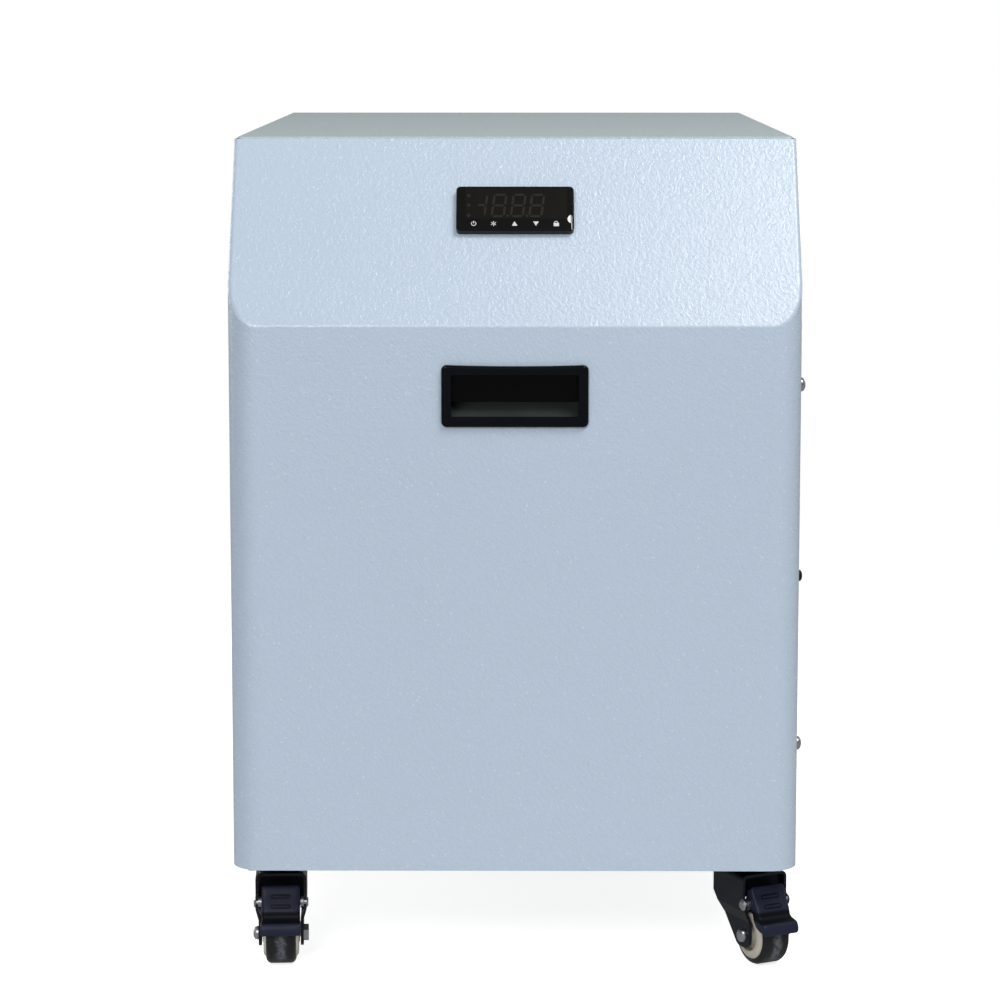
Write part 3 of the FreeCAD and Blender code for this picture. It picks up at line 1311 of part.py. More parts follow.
def make_suction_tube():
    """Cold gas from the heat exchanger to the suction bottle."""
    x, z = evap_port_spots()["gas_out"]
    bottle_top = compressor_base_z() + BOTTLE_UP + BOTTLE_L
    points = [(x, evap_face() - EVAP_STUB, z), (x, bottle_y(), z), (COMP_X, bottle_y(), z),
              (COMP_X, bottle_y(), bottle_top)]
    return pipe(points, PIPE_R + 1, PIPE_BEND)


# Water circuit

def make_water_ports():
    """Two bulkhead fittings: threaded spigot, hexagon flange and a hose tail inside."""
    ports = []
    for height in PORT_HEIGHTS:
        z = BODY_Z + height
        spigot = rod((PORT_X, REAR_Y, z), (0, 1, 0), PORT_R, PORT_REACH)
        flange = hexagon((PORT_X, REAR_Y, z), (0, 1, 0), PORT_FLANGE_AF, PORT_FLANGE_T)
        inner = rod((PORT_X, REAR_Y + 0.5, z), (0, -1, 0), PORT_R, SHEET + NUT_T + 5)
        tail = rod((PORT_X, REAR_Y, z), (0, -1, 0), SPIGOT_R, PORT_TAIL)
        bore = rod((PORT_X, REAR_Y + PORT_REACH + 1, z), (0, -1, 0), PORT_BORE_R, PORT_REACH + PORT_TAIL + 2)
        ports.append(joined([spigot, flange, inner, tail]).cut(bore))
    return grouped(ports)


def make_port_nuts():
    """Hexagon nuts that clamp the fittings from inside."""
    nuts = []
    for height in PORT_HEIGHTS:
        z = BODY_Z + height
        start = (PORT_X, REAR_Y - SHEET, z)
        nuts.append(hexagon(start, (0, -1, 0), PORT_FLANGE_AF, NUT_T).cut(
            rod(start, (0, -1, 0), PORT_R + FIT, NUT_T)))
    return grouped(nuts)


def pump_z():
    """The pump's axis."""
    return PAN_TOP + PUMP_HEAD_R + 2


def pump_head_y():
    """The joint between pump head and motor; the head is in front."""
    return FRONT_Y + PUMP_SETBACK


def pump_outlet_y():
    """The upright outlet's place along the pump."""
    return pump_head_y() - PUMP_HEAD_L / 2


def make_pump_head():
    """The volute with an axial inlet in front and an upright outlet."""
    y = pump_head_y()
    volute = turned([(0, 0, 0), (0, PUMP_HEAD_R, 0), (PUMP_HEAD_L - 12, PUMP_HEAD_R, 0),
                     (PUMP_HEAD_L, PUMP_HEAD_R - 22, 0), (PUMP_HEAD_L, SPIGOT_R, 0),
                     (PUMP_HEAD_L + PUMP_STUB, SPIGOT_R, 0), (PUMP_HEAD_L + PUMP_STUB, 0, 0)],
                    (PUMP_X, y, pump_z()), (0, -1, 0))
    outlet = rod((PUMP_X, pump_outlet_y(), pump_z() + PUMP_HEAD_R - 6), (0, 0, 1), SPIGOT_R, PUMP_STUB + 6)
    return joined([volute, outlet])


def make_pump_motor():
    """A finned motor on a pressed foot."""
    y = pump_head_y()
    body = turned([(0, 0, 0), (0, PUMP_R, 0), (PUMP_L - 8, PUMP_R, 0), (PUMP_L, PUMP_R - 12, 0),
                   (PUMP_L, 0, 0)], (PUMP_X, y, pump_z()), (0, 1, 0))
    fins = []
    for i in range(PUMP_FINS):
        fin = block(PUMP_X - 1, y + 12, pump_z() + PUMP_R - 3,
                    PUMP_X + 1, y + PUMP_L - 14, pump_z() + PUMP_R + 5)
        fin.rotate(V(PUMP_X, 0, pump_z()), V(0, 1, 0), (i - (PUMP_FINS - 1) / 2) * PUMP_FIN_STEP_DEG)
        fins.append(fin)
    half_w = PUMP_FOOT_W / 2
    y0 = y + (PUMP_L - PUMP_FOOT_L) / 2 - 5
    neck = half_w * 0.6
    foot = joined([block(PUMP_X - half_w, y0, PAN_TOP,
                         PUMP_X + half_w, y0 + PUMP_FOOT_L, PAN_TOP + PUMP_FOOT_T),
                   block(PUMP_X - neck, y0 + 10, PAN_TOP, PUMP_X + neck, y0 + PUMP_FOOT_L - 10,
                         pump_z() - PUMP_R + 8)])
    return joined([body, foot] + fins)


def hose(points):
    """A water hose: a thick tube whose ends are pushed over their spigots."""
    return pipe(points, HOSE_R, HOSE_BEND, SPIGOT_R)


def make_inlet_hose():
    """From the lower port forward along the right side and round into the pump."""
    z = BODY_Z + PORT_HEIGHTS[0]
    front = pump_head_y() - PUMP_HEAD_L - PUMP_STUB - HOSE_LEAD
    points = [(PORT_X, REAR_Y - PORT_TAIL + HOSE_PUSH, z), (PORT_X, front, z), (PUMP_X, front, pump_z()),
              (PUMP_X, pump_head_y() - PUMP_HEAD_L - PUMP_STUB + HOSE_GRIP, pump_z())]
    return hose(points)


def make_feed_hose():
    """From the pump up and back to the heat exchanger's lower stub."""
    x, z = evap_port_spots()["water_in"]
    y0 = pump_outlet_y()
    low = pump_z() + PUMP_HEAD_R + PUMP_STUB - HOSE_GRIP
    high = pump_z() + PUMP_HEAD_R + PUMP_STUB + HOSE_LEAD
    drop = evap_face() - EVAP_STUB - HOSE_LEAD
    points = [(PUMP_X, y0, low), (PUMP_X, y0, high), (x, drop, high), (x, drop, z),
              (x, evap_face() - EVAP_STUB + HOSE_GRIP_EVAP, z)]
    return hose(points)


def make_outlet_hose():
    """From the heat exchanger's upper stub round to the upper port."""
    x, z = evap_port_spots()["water_out"]
    front = evap_face() - EVAP_STUB - HOSE_LEAD
    port_z = BODY_Z + PORT_HEIGHTS[1]
    points = [(x, evap_face() - EVAP_STUB + HOSE_GRIP_EVAP, z), (x, front, z), (PORT_X, front, z),
              (PORT_X, front + HOSE_SLOPE, port_z), (PORT_X, REAR_Y - PORT_TAIL + HOSE_PUSH, port_z)]
    return hose(points)


# Electrical pieces

def make_control_box():
    """A lidded box for relays and terminals, standing on the tray."""
    y0 = FRONT_Y + BOX_SETBACK
    outer = block(BOX_X - BOX_W / 2, y0, PAN_TOP, BOX_X + BOX_W / 2, y0 + BOX_D, PAN_TOP + BOX_H)
    upright = [edge for edge in outer.Edges if edge.BoundBox.ZLength > BOX_H - 1]
    outer = outer.makeFillet(5, upright)
    inner = block(BOX_X - BOX_W / 2 + BOX_T, y0 + BOX_T, PAN_TOP + BOX_T,
                  BOX_X + BOX_W / 2 - BOX_T, y0 + BOX_D - BOX_T, PAN_TOP + BOX_H - BOX_T)
    lid = block(BOX_X - BOX_W / 2 - 2, y0 - 2, PAN_TOP + BOX_H - 12, BOX_X + BOX_W / 2 + 2, y0 + BOX_D + 2,
                PAN_TOP + BOX_H + 1)
    gland_step = BOX_W / (GLANDS + 1)
    glands = [rod((BOX_X - BOX_W / 2 + (i + 1) * gland_step, y0 + BOX_D - 1, PAN_TOP + BOX_H / 2), (0, 1, 0),
                  GLAND_R, GLAND_L) for i in range(GLANDS)]
    return joined([outer, lid] + glands).cut(inner)


def inlet_pin_shapes():
    """The three flat pins of the inlet, from their tabs behind it to their tips in the socket."""
    z = BODY_Z + INLET_HEIGHT
    half_w = INLET_PIN_W / 2
    half_h = INLET_PIN_H / 2
    return [block(PORT_X + x - half_w, REAR_Y - INLET_DEPTH - INLET_PIN_TAB, z + up - half_h,
                  PORT_X + x + half_w, REAR_Y - INLET_PIN_BACK, z + up + half_h)
            for x, up in INLET_PIN_SPOTS]


def make_power_inlet():
    """A three-pin appliance inlet with its screw flange."""
    z = BODY_Z + INLET_HEIGHT
    half_w = INLET_W / 2
    half_h = INLET_H / 2
    face = front_prism([(PORT_X - half_w, z - half_h, INLET_CORNER_R),
                        (PORT_X + half_w, z - half_h, INLET_CORNER_R),
                        (PORT_X + half_w, z + half_h, INLET_CORNER_R),
                        (PORT_X - half_w, z + half_h, INLET_CORNER_R)], REAR_Y, REAR_Y + INLET_FACE_T)
    body = block(PORT_X - INLET_CUT_W / 2 + FIT, REAR_Y - INLET_DEPTH, z - INLET_CUT_H / 2 + FIT,
                 PORT_X + INLET_CUT_W / 2 - FIT, REAR_Y + 1, z + INLET_CUT_H / 2 - FIT)
    mouth_w = SOCKET_W / 2
    mouth_h = SOCKET_H / 2
    cavity = front_prism([(PORT_X - mouth_w, z - mouth_h, 0), (PORT_X + mouth_w, z - mouth_h, 0),
                          (PORT_X + mouth_w, z + mouth_h - SOCKET_BEVEL, 0),
                          (PORT_X + mouth_w - SOCKET_BEVEL, z + mouth_h, 0),
                          (PORT_X - mouth_w + SOCKET_BEVEL, z + mouth_h, 0),
                          (PORT_X - mouth_w, z + mouth_h - SOCKET_BEVEL, 0)],
                         REAR_Y - SOCKET_D, REAR_Y + INLET_FACE_T + 1)
    shell = joined([face, body]).cut(cavity).cut(Part.makeCompound(inlet_pin_shapes()))
    return screw_holes(shell, rear_screw_paths(), SMALL_R)


def make_inlet_pins():
    """The plated pins, pressed through the inlet's back wall."""
    return grouped(inlet_pin_shapes())


PARTS = {
    "base_pan": make_base_pan,
    "front_panel": make_front_panel,
    "left_side_panel": lambda: make_side_panel(-1),
    "right_side_panel": lambda: make_side_panel(1),
    "rear_panel": make_rear_panel,
    "top_cover": make_top_cover,
    "corner_posts": make_corner_posts,
    "silver_panel_screws": make_silver_screws,
    "black_panel_screws": make_black_screws,
    "recess_handle": make_recess_handle,
    "controller_housing": make_controller_housing,
    "controller_window": make_controller_window,
    "controller_clips": make_controller_clips,
    "fan_shroud": make_fan_shroud,
    "fan_motor": make_fan_motor,
    "fan_rotor": make_fan_rotor,
    "fan_grille": make_fan_grille,
    "condenser_fins": make_condenser_fins,
    "condenser_tube": make_condenser_tube,
    "coil_rails": make_coil_rails,
    "compressor": make_compressor,
    "compressor_feet": make_compressor_feet,
    "terminal_cover": make_terminal_cover,
    "plate_exchanger": make_plate_exchanger,
    "evaporator_jacket": make_evaporator_jacket,
    "discharge_tube": make_discharge_tube,
    "liquid_tube": make_liquid_tube,
    "filter_drier": make_filter_drier,
    "capillary": make_capillary,
    "suction_tube": make_suction_tube,
    "pump_head": make_pump_head,
    "pump_motor": make_pump_motor,
    "water_ports": make_water_ports,
    "port_nuts": make_port_nuts,
    "inlet_hose": make_inlet_hose,
    "feed_hose": make_feed_hose,
    "outlet_hose": make_outlet_hose,
    "control_box": make_control_box,
    "power_inlet": make_power_inlet,
    "inlet_pins": make_inlet_pins,
    "caster_plates": make_caster_plates,
    "caster_bolts": make_caster_bolts,
}
for caster in HEADINGS:
    PARTS[caster + "_fork"] = lambda name=caster: make_fork(name)
    PARTS[caster + "_tyre"] = lambda name=caster: make_tyre(name)
    PARTS[caster + "_wheel_core"] = lambda name=caster: make_wheel_core(name)
    PARTS[caster + "_pins"] = lambda name=caster: make_caster_pins(name)
    if caster in BRAKED:
        PARTS[caster + "_brake_pedal"] = lambda name=caster: make_brake_pedal(name)

os.makedirs("parts", exist_ok=True)
for node, make in PARTS.items():
    shape = make()
    shape.exportStep("parts/" + node + ".step")
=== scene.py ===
"""Looks of the ice bath chiller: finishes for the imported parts, and the finer pieces that go with them.

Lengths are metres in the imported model's own frame. +Z is up, the front faces -Y and +X is to the right.
"""

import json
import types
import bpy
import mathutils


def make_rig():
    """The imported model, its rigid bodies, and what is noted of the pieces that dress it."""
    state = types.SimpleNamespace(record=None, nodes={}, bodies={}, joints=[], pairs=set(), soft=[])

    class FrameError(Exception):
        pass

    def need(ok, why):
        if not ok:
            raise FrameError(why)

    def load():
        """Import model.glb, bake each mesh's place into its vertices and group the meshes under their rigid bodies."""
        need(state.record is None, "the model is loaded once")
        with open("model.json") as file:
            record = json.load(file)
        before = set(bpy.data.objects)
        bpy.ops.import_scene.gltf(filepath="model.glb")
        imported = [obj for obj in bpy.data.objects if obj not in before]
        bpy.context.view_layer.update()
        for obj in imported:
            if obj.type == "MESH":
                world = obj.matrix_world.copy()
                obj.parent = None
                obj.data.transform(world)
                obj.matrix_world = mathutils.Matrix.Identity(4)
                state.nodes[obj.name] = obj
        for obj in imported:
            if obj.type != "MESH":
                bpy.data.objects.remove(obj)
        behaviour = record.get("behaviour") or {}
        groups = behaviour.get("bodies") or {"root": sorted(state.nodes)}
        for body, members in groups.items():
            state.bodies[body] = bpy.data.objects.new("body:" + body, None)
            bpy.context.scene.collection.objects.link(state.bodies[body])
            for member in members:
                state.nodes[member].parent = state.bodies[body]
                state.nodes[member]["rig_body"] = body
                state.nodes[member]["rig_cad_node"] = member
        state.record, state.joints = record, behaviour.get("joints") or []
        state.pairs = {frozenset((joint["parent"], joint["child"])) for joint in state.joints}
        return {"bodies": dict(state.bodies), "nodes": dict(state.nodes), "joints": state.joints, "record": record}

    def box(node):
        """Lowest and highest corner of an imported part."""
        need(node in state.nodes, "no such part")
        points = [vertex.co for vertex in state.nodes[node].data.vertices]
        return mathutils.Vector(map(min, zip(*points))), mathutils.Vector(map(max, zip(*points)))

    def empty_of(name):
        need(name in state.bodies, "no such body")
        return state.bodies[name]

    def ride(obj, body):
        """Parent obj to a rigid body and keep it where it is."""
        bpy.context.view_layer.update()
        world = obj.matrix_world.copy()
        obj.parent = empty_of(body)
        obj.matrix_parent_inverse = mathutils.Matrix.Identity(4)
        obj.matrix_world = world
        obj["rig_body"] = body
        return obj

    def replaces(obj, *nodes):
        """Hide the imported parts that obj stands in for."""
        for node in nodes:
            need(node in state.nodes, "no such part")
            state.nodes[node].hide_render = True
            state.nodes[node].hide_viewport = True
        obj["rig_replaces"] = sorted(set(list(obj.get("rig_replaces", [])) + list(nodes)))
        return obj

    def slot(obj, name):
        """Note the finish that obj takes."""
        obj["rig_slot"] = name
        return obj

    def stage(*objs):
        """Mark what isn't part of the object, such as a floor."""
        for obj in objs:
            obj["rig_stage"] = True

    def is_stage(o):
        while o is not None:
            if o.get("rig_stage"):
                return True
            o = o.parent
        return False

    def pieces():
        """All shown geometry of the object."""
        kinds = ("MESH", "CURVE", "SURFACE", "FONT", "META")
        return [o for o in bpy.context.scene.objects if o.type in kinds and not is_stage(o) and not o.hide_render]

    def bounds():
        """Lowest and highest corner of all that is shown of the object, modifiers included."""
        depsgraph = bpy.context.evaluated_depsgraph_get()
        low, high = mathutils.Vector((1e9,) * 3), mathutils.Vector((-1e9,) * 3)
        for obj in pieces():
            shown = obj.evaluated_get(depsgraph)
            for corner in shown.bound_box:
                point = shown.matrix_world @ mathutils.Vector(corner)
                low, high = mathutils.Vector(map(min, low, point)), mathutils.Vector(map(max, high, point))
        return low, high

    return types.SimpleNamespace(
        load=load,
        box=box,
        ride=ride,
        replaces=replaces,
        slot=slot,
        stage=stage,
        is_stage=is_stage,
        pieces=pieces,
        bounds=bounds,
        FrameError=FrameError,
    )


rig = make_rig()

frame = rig.load()
cad_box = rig.bounds()
joints = {joint["name"]: joint for joint in frame["joints"]}

import json
import math

import bmesh
import bpy
from bpy.props import FloatProperty, FloatVectorProperty, IntProperty, PointerProperty
from mathutils import Matrix, Vector

bl_info = {
    "name": "Ice bath chiller",
    "version": (1, 0, 0),
    "blender": (4, 5, 0),
    "location": "View3D > Sidebar > Chiller",
    "description": "Finishes and fine pieces of a portable water chiller",
    "category": "Object",
}

MM = 0.001
SEAM = 0.02 * MM
SHARP_DEG = 35.0
CASTERS = ("front_left", "front_right", "rear_left", "rear_right")
BRAKED = ("front_left", "front_right")


# Colours and shader sums

def srgb(red, green, blue):
    """A colour as it looks on screen, 0 to 255, turned into the linear one that shaders take."""
    linear = []
    for level in (red, green, blue):
        share = level / 255
        linear.append(share / 12.92 if share <= 0.04045 else ((share + 0.055) / 1.055) ** 2.4)
    return (*linear, 1.0)


def shade(colour, share):
    """The same colour made darker or lighter."""
    return (*[level * share for level in colour[:3]], 1.0)


class Wire:
    """A socket that takes part in sums; each sum adds a Math node."""

    def __init__(self, net, socket):
        self.net = net
        self.socket = socket

    def _sum(self, operation, *terms):
        return self.net.wire("ShaderNodeMath", 0, {"operation": operation}, dict(enumerate(terms)))

    def __add__(self, other):
        return self._sum("ADD", self, other)

    __radd__ = __add__

    def __sub__(self, other):
        return self._sum("SUBTRACT", self, other)

    def __rsub__(self, other):
        return self._sum("SUBTRACT", other, self)

    def __mul__(self, other):
        return self._sum("MULTIPLY", self, other)

    __rmul__ = __mul__

    def __abs__(self):
        return self._sum("ABSOLUTE", self)

    def over(self, other):
        """The larger of the two."""
        return self._sum("MAXIMUM", self, other)

    def under(self, other):
        """The smaller of the two."""
        return self._sum("MINIMUM", self, other)

    def rise(self, low, high):
        """0 below low, 1 above high, and smooth in between."""
        sockets = {"Value": self, "From Min": low, "From Max": high}
        return self.net.wire("ShaderNodeMapRange", "Result", {"interpolation_type": "SMOOTHSTEP"}, sockets)


class Net:
    """A node tree and the ways to add to it."""

    def __init__(self, tree):
        self.tree = tree

    def node(self, kind, settings=None, sockets=None):
        """Adds a node: its settings first, then the values or links of its sockets."""
        made = self.tree.nodes.new(kind)
        for name, value in (settings or {}).items():
            setattr(made, name, value)
        for name, value in (sockets or {}).items():
            self.put(made.inputs[name], value)
        return made

    def wire(self, kind, output, settings=None, sockets=None):
        """Adds a node and hands on one of its outputs."""
        return Wire(self, self.node(kind, settings, sockets).outputs[output])

    def put(self, socket, value):
        """Links a wire to a socket, or sets the socket's own value."""
        if isinstance(value, Wire):
            self.tree.links.new(value.socket, socket)
        else:
            socket.default_value = value


class Finish(Net):
    """One procedural material: a Principled shader and the nodes that feed it."""

    def __init__(self, name, **constants):
        self.material = bpy.data.materials.new(name)
        self.material.use_nodes = True
        super().__init__(self.material.node_tree)
        self.shader = self.tree.nodes["Principled BSDF"]
        self.feed(**constants)
        self.place = self.wire("ShaderNodeTexCoord", "Object")

    def feed(self, **sockets):
        """Gives the shader its values, and links what varies over the surface."""
        for name, value in sockets.items():
            self.put(self.shader.inputs[name.replace("_", " ").title().replace("Ior", "IOR")], value)

    def stretched(self, scale, turn=(0.0, 0.0, 0.0)):
        """The surface's own coordinates, turned and then scaled along each axis."""
        sockets = {"Vector": self.place, "Rotation": turn, "Scale": scale}
        return self.wire("ShaderNodeMapping", "Vector", {}, sockets)

    def noise(self, scale, detail=2.0, roughness=0.5, place=None, distortion=0.0):
        """Soft cloudy values from 0 to 1."""
        sockets = {"Vector": place or self.place, "Scale": scale, "Detail": detail,
                   "Roughness": roughness, "Distortion": distortion}
        return self.wire("ShaderNodeTexNoise", "Fac", {}, sockets)

    def cells(self, scale, output="Distance"):
        """Distances, or colours, of scattered cells."""
        return self.wire("ShaderNodeTexVoronoi", output, {}, {"Vector": self.place, "Scale": scale})

    def grey(self, colour):
        """How light a colour is, as one value."""
        return self.wire("ShaderNodeRGBToBW", 0, {}, {"Color": colour})

    def blend(self, factor, low, high):
        """A colour between two others."""
        return self.wire("ShaderNodeMix", 2, {"data_type": "RGBA"}, {0: factor, 6: low, 7: high})

    def vector(self, operation, output, first, second):
        """Vector maths between two places or directions."""
        sockets = {0: first, 1: tuple(second)}
        return self.wire("ShaderNodeVectorMath", output, {"operation": operation}, sockets)

    def along(self, start, direction):
        """How far the surface lies from a point along a direction, in metres."""
        offset = self.vector("SUBTRACT", "Vector", self.place, start)
        return self.vector("DOT_PRODUCT", "Value", offset, direction)

    def away(self, start):
        """How far the surface lies from a point, in metres."""
        return self.vector("DISTANCE", "Value", self.place, start)

    def bump(self, height, distance):
        """Relief from a height between 0 and 1, given its depth in metres."""
        sockets = {"Height": height, "Distance": distance, "Strength": 1.0}
        self.feed(normal=self.wire("ShaderNodeBump", "Normal", {}, sockets))
        return self


# Finishes

def coat_finish(name, colour, user):
    """Powder coat with a fine leathery grain and a few glossier flecks, whose colour is painted paler as glints."""
    finish = Finish(name, roughness=0.3, specular_ior_level=0.75)
    skewed = finish.stretched((1.0, 1.0, 1.0), (0.3, 0.6, 0.7))
    sockets = {"Vector": skewed, "Scale": (1.0, 0.62, 0.62)}
    grain_place = finish.wire("ShaderNodeMapping", "Vector", {}, sockets)
    coarse = finish.noise(1 / user.grain_size, 2.0, 0.55, grain_place, 0.6)
    fine = finish.noise(2.6 / user.grain_size, 2.0, 0.6, grain_place)
    cloud = finish.noise(9.0, 3.0)
    tint = (cloud - 0.5) * 0.5 + (coarse - 0.5) * 0.45 + 0.5
    lucky = finish.grey(finish.cells(1 / user.fleck_gap, "Color")).rise(0.62, 0.64)
    fleck = (1 - finish.cells(1 / user.fleck_gap).rise(0.12, 0.2)) * lucky
    coat = finish.blend(tint, shade(colour, 0.965), shade(colour, 1.035))
    # The flecks' colour is painted paler towards white as glints; their lower roughness is real gloss.
    finish.feed(base_color=finish.blend(fleck * 0.25, coat, (0.96, 0.98, 1.0, 1.0)),
                roughness=user.gloss + (fine - 0.5) * 0.12 - fleck * 0.16)
    return finish.bump(coarse * 0.75 + fine * 0.25, user.grain_depth).material


def zinc_plate_finish(name, colour, dull):
    """Bright plated steel with faint stains."""
    finish = Finish(name, metallic=1.0, roughness=dull)
    stain = finish.noise(420.0, 4.0, 0.6)
    scratch = finish.noise(900.0, 2.0, 0.5, finish.stretched((1.0, 0.12, 1.0)))
    finish.feed(base_color=finish.blend(stain, shade(colour, 0.78), shade(colour, 1.08)),
                roughness=dull + (stain - 0.5) * 0.16 + (scratch - 0.5) * 0.1)
    return finish.bump(scratch, 0.00002).material


def spangle_finish(name, colour):
    """Galvanised sheet with its crystal flowers."""
    finish = Finish(name, metallic=0.85, roughness=0.42)
    flower = finish.grey(finish.cells(95.0, "Color"))
    dust = finish.noise(60.0, 5.0, 0.6)
    finish.feed(base_color=finish.blend(flower * 0.6 + dust * 0.4, shade(colour, 0.74), shade(colour, 1.1)),
                roughness=0.34 + flower * 0.16)
    return finish.bump(flower * 0.3 + dust * 0.7, 0.00003).material


def moulded_finish(name, colour, dull=0.42):
    """Moulded plastic with spark-eroded texture and slight unevenness."""
    finish = Finish(name, roughness=dull, specular_ior_level=0.5)
    pits = finish.noise(1500.0, 2.0, 0.6)
    sweep = finish.noise(22.0, 3.0)
    finish.feed(base_color=finish.blend(sweep * 0.6 + pits * 0.4, shade(colour, 0.84), shade(colour, 1.16)),
                roughness=dull + (sweep - 0.5) * 0.14 + (pits - 0.5) * 0.1)
    return finish.bump(pits, 0.00004).material


def gloss_finish(name, colour, dull):
    """Smooth glossy plastic with faint wipe marks."""
    finish = Finish(name, roughness=dull, specular_ior_level=0.2, coat_weight=0.05, coat_roughness=0.04)
    smear = finish.noise(34.0, 3.0, 0.5, finish.stretched((1.0, 1.0, 0.25)))
    finish.feed(base_color=finish.blend(smear, shade(colour, 0.85), shade(colour, 1.15)),
                roughness=dull + smear * 0.08)
    return finish.bump(finish.noise(48.0, 1.0), 0.00001).material


def pull_finish(name, colour, dull, face_y):
    """Black moulding: deeper in the pocket its colour is painted darker as shade, and what faces up deep in the pocket
    is painted paler and greenish.
    """
    finish = Finish(name, roughness=dull, specular_ior_level=0.15)
    pits = finish.noise(1300.0, 2.0, 0.6)
    sweep = finish.noise(34.0, 3.0)
    depth = finish.along((0, face_y, 0), (0, 1, 0))
    facing = finish.wire("ShaderNodeNewGeometry", "Normal")
    up = finish.wire("ShaderNodeSeparateXYZ", "Z", {}, {0: facing}).rise(0.6, 0.9)
    # What faces up deep in the pocket is painted paler and greenish.
    dust = up * depth.rise(0.003, 0.006) * (sweep * 0.5 + 0.55)
    # Painted shade: the colour darkens towards the back of the pocket.
    plain = finish.blend(depth.rise(0.008, 0.022), shade(colour, 1.0), shade(colour, 0.25))
    finish.feed(base_color=finish.blend(dust.under(1.0), plain, srgb(58, 64, 62)),
                roughness=dull + (sweep - 0.5) * 0.1 + dust * 0.3)
    return finish.bump(pits, 0.00002).material


def painted_steel_finish(name, colour, dull):
    """Dark electro-coated steel, worn a touch in cloudy patches."""
    finish = Finish(name, roughness=dull, metallic=0.1, specular_ior_level=0.2)
    cloud = finish.noise(70.0, 4.0, 0.6)
    fleck = finish.noise(1100.0, 2.0, 0.5)
    finish.feed(base_color=finish.blend(cloud * 0.7 + fleck * 0.3, shade(colour, 0.75), shade(colour, 1.3)),
                roughness=dull + (cloud - 0.5) * 0.2)
    return finish.bump(fleck * 0.6 + cloud * 0.4, 0.00003).material


def copper_finish(name, colour):
    """Drawn copper gone dull and warm in places."""
    finish = Finish(name, metallic=1.0, roughness=0.3)
    tarnish = finish.noise(38.0, 4.0, 0.62)
    draw = finish.noise(700.0, 1.0, 0.5)
    finish.feed(base_color=finish.blend(tarnish.rise(0.35, 0.75), colour, srgb(122, 74, 52)),
                roughness=0.24 + tarnish * 0.24)
    return finish.bump(draw, 0.00001).material


def rubber_finish(name, colour, dull=0.72):
    """Black rubber with a dry bloom."""
    finish = Finish(name, roughness=dull, specular_ior_level=0.35)
    bloom = finish.noise(55.0, 5.0, 0.65)
    skin = finish.noise(1300.0, 2.0, 0.6)
    finish.feed(base_color=finish.blend(bloom.rise(0.42, 0.8), colour, shade(colour, 1.9)),
                roughness=dull + (bloom - 0.5) * 0.16)
    return finish.bump(skin, 0.00004).material


def foam_finish(name, colour):
    """Closed-cell foam: small round cells under a soft skin."""
    finish = Finish(name, roughness=0.85, specular_ior_level=0.2)
    cell = finish.cells(620.0)
    cloud = finish.noise(30.0, 3.0)
    finish.feed(base_color=finish.blend(cell * 0.6 + cloud * 0.4, shade(colour, 0.7), shade(colour, 1.3)))
    return finish.bump(cell, 0.00015).material


def stainless_finish(name, colour):
    """Brushed stainless steel with a straw heat tint."""
    finish = Finish(name, metallic=1.0, roughness=0.32)
    brush = finish.noise(800.0, 2.0, 0.5, finish.stretched((0.04, 0.04, 1.0)))
    heat = finish.noise(26.0, 3.0)
    finish.feed(base_color=finish.blend(heat.rise(0.45, 0.85), colour, srgb(196, 176, 130)),
                roughness=0.22 + brush * 0.22)
    return finish.bump(brush, 0.00002).material


def fin_finish(name, colour):
    """Thin aluminium sheet with rolled ripples and a little dust."""
    finish = Finish(name, metallic=0.95, roughness=0.38)
    ripple = finish.noise(260.0, 2.0, 0.5, finish.stretched((0.2, 1.0, 1.0)))
    dust = finish.noise(45.0, 5.0, 0.6)
    finish.feed(base_color=finish.blend(dust, shade(colour, 0.72), shade(colour, 1.08)),
                roughness=0.3 + dust * 0.2)
    return finish.bump(ripple, 0.00008).material


def pedal_finish(name, colour, pivot):
    """Moulded black, with its colour painted dark as shade in the hollow under the tread plate."""
    finish = Finish(name, roughness=0.36, specular_ior_level=0.14)
    pits = finish.noise(1100.0, 2.0, 0.6)
    sweep = finish.noise(60.0, 3.0)
    height = finish.along(pivot, (0, 0, 1))
    # hollow: the band under the tread plate, where the colour is painted dark as shade.
    hollow = height.rise(-0.0102, -0.0088) * (1 - height.rise(-0.0042, -0.0022))
    lit = finish.blend(sweep * 0.6 + pits * 0.4, shade(colour, 0.8), shade(colour, 1.25))
    finish.feed(base_color=finish.blend(hollow, lit, shade(colour, 0.16)),
                roughness=0.32 + (sweep - 0.5) * 0.14 + hollow * 0.2)
    return finish.bump(pits, 0.00003).material


def tread_finish(name, colour, user, middle, axle):
    """Wheel tread: black, with the grey band of floor dust where it rolls."""
    finish = Finish(name, roughness=0.6, specular_ior_level=0.25)
    across = abs(finish.along(middle, axle))
    cloud = finish.noise(160.0, 5.0, 0.65)
    speck = finish.noise(900.0, 3.0, 0.6)
    patch = finish.noise(330.0, 4.0, 0.7).rise(0.34, 0.66)
    band = (1 - (across + (cloud - 0.5) * 0.008).rise(0.0008, 0.0046)) * (speck * 0.5 + patch * 0.9 + 0.05)
    finish.feed(base_color=finish.blend(band.under(1.0) * user.dust, colour, srgb(122, 130, 138)),
                roughness=0.34 + band * 0.4)
    return finish.bump(speck * 0.5 + cloud * 0.5, 0.00006).material


# Shapes

def new_object(name, data):
    """Links an object into the scene."""
    made = bpy.data.objects.new(name, data)
    bpy.context.scene.collection.objects.link(made)
    return made


def new_piece(name, mesh, material, body, slot):
    """Links a mesh into the scene as a piece that rides on a body."""
    piece = new_object(name, mesh)
    piece.data.materials.append(material)
    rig.ride(piece, body)
    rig.slot(piece, slot)
    return piece


def mesh_data(name, mesh):
    """Turns a bmesh into mesh data, and frees it."""
    data = bpy.data.meshes.new(name)
    mesh.to_mesh(data)
    mesh.free()
    return data


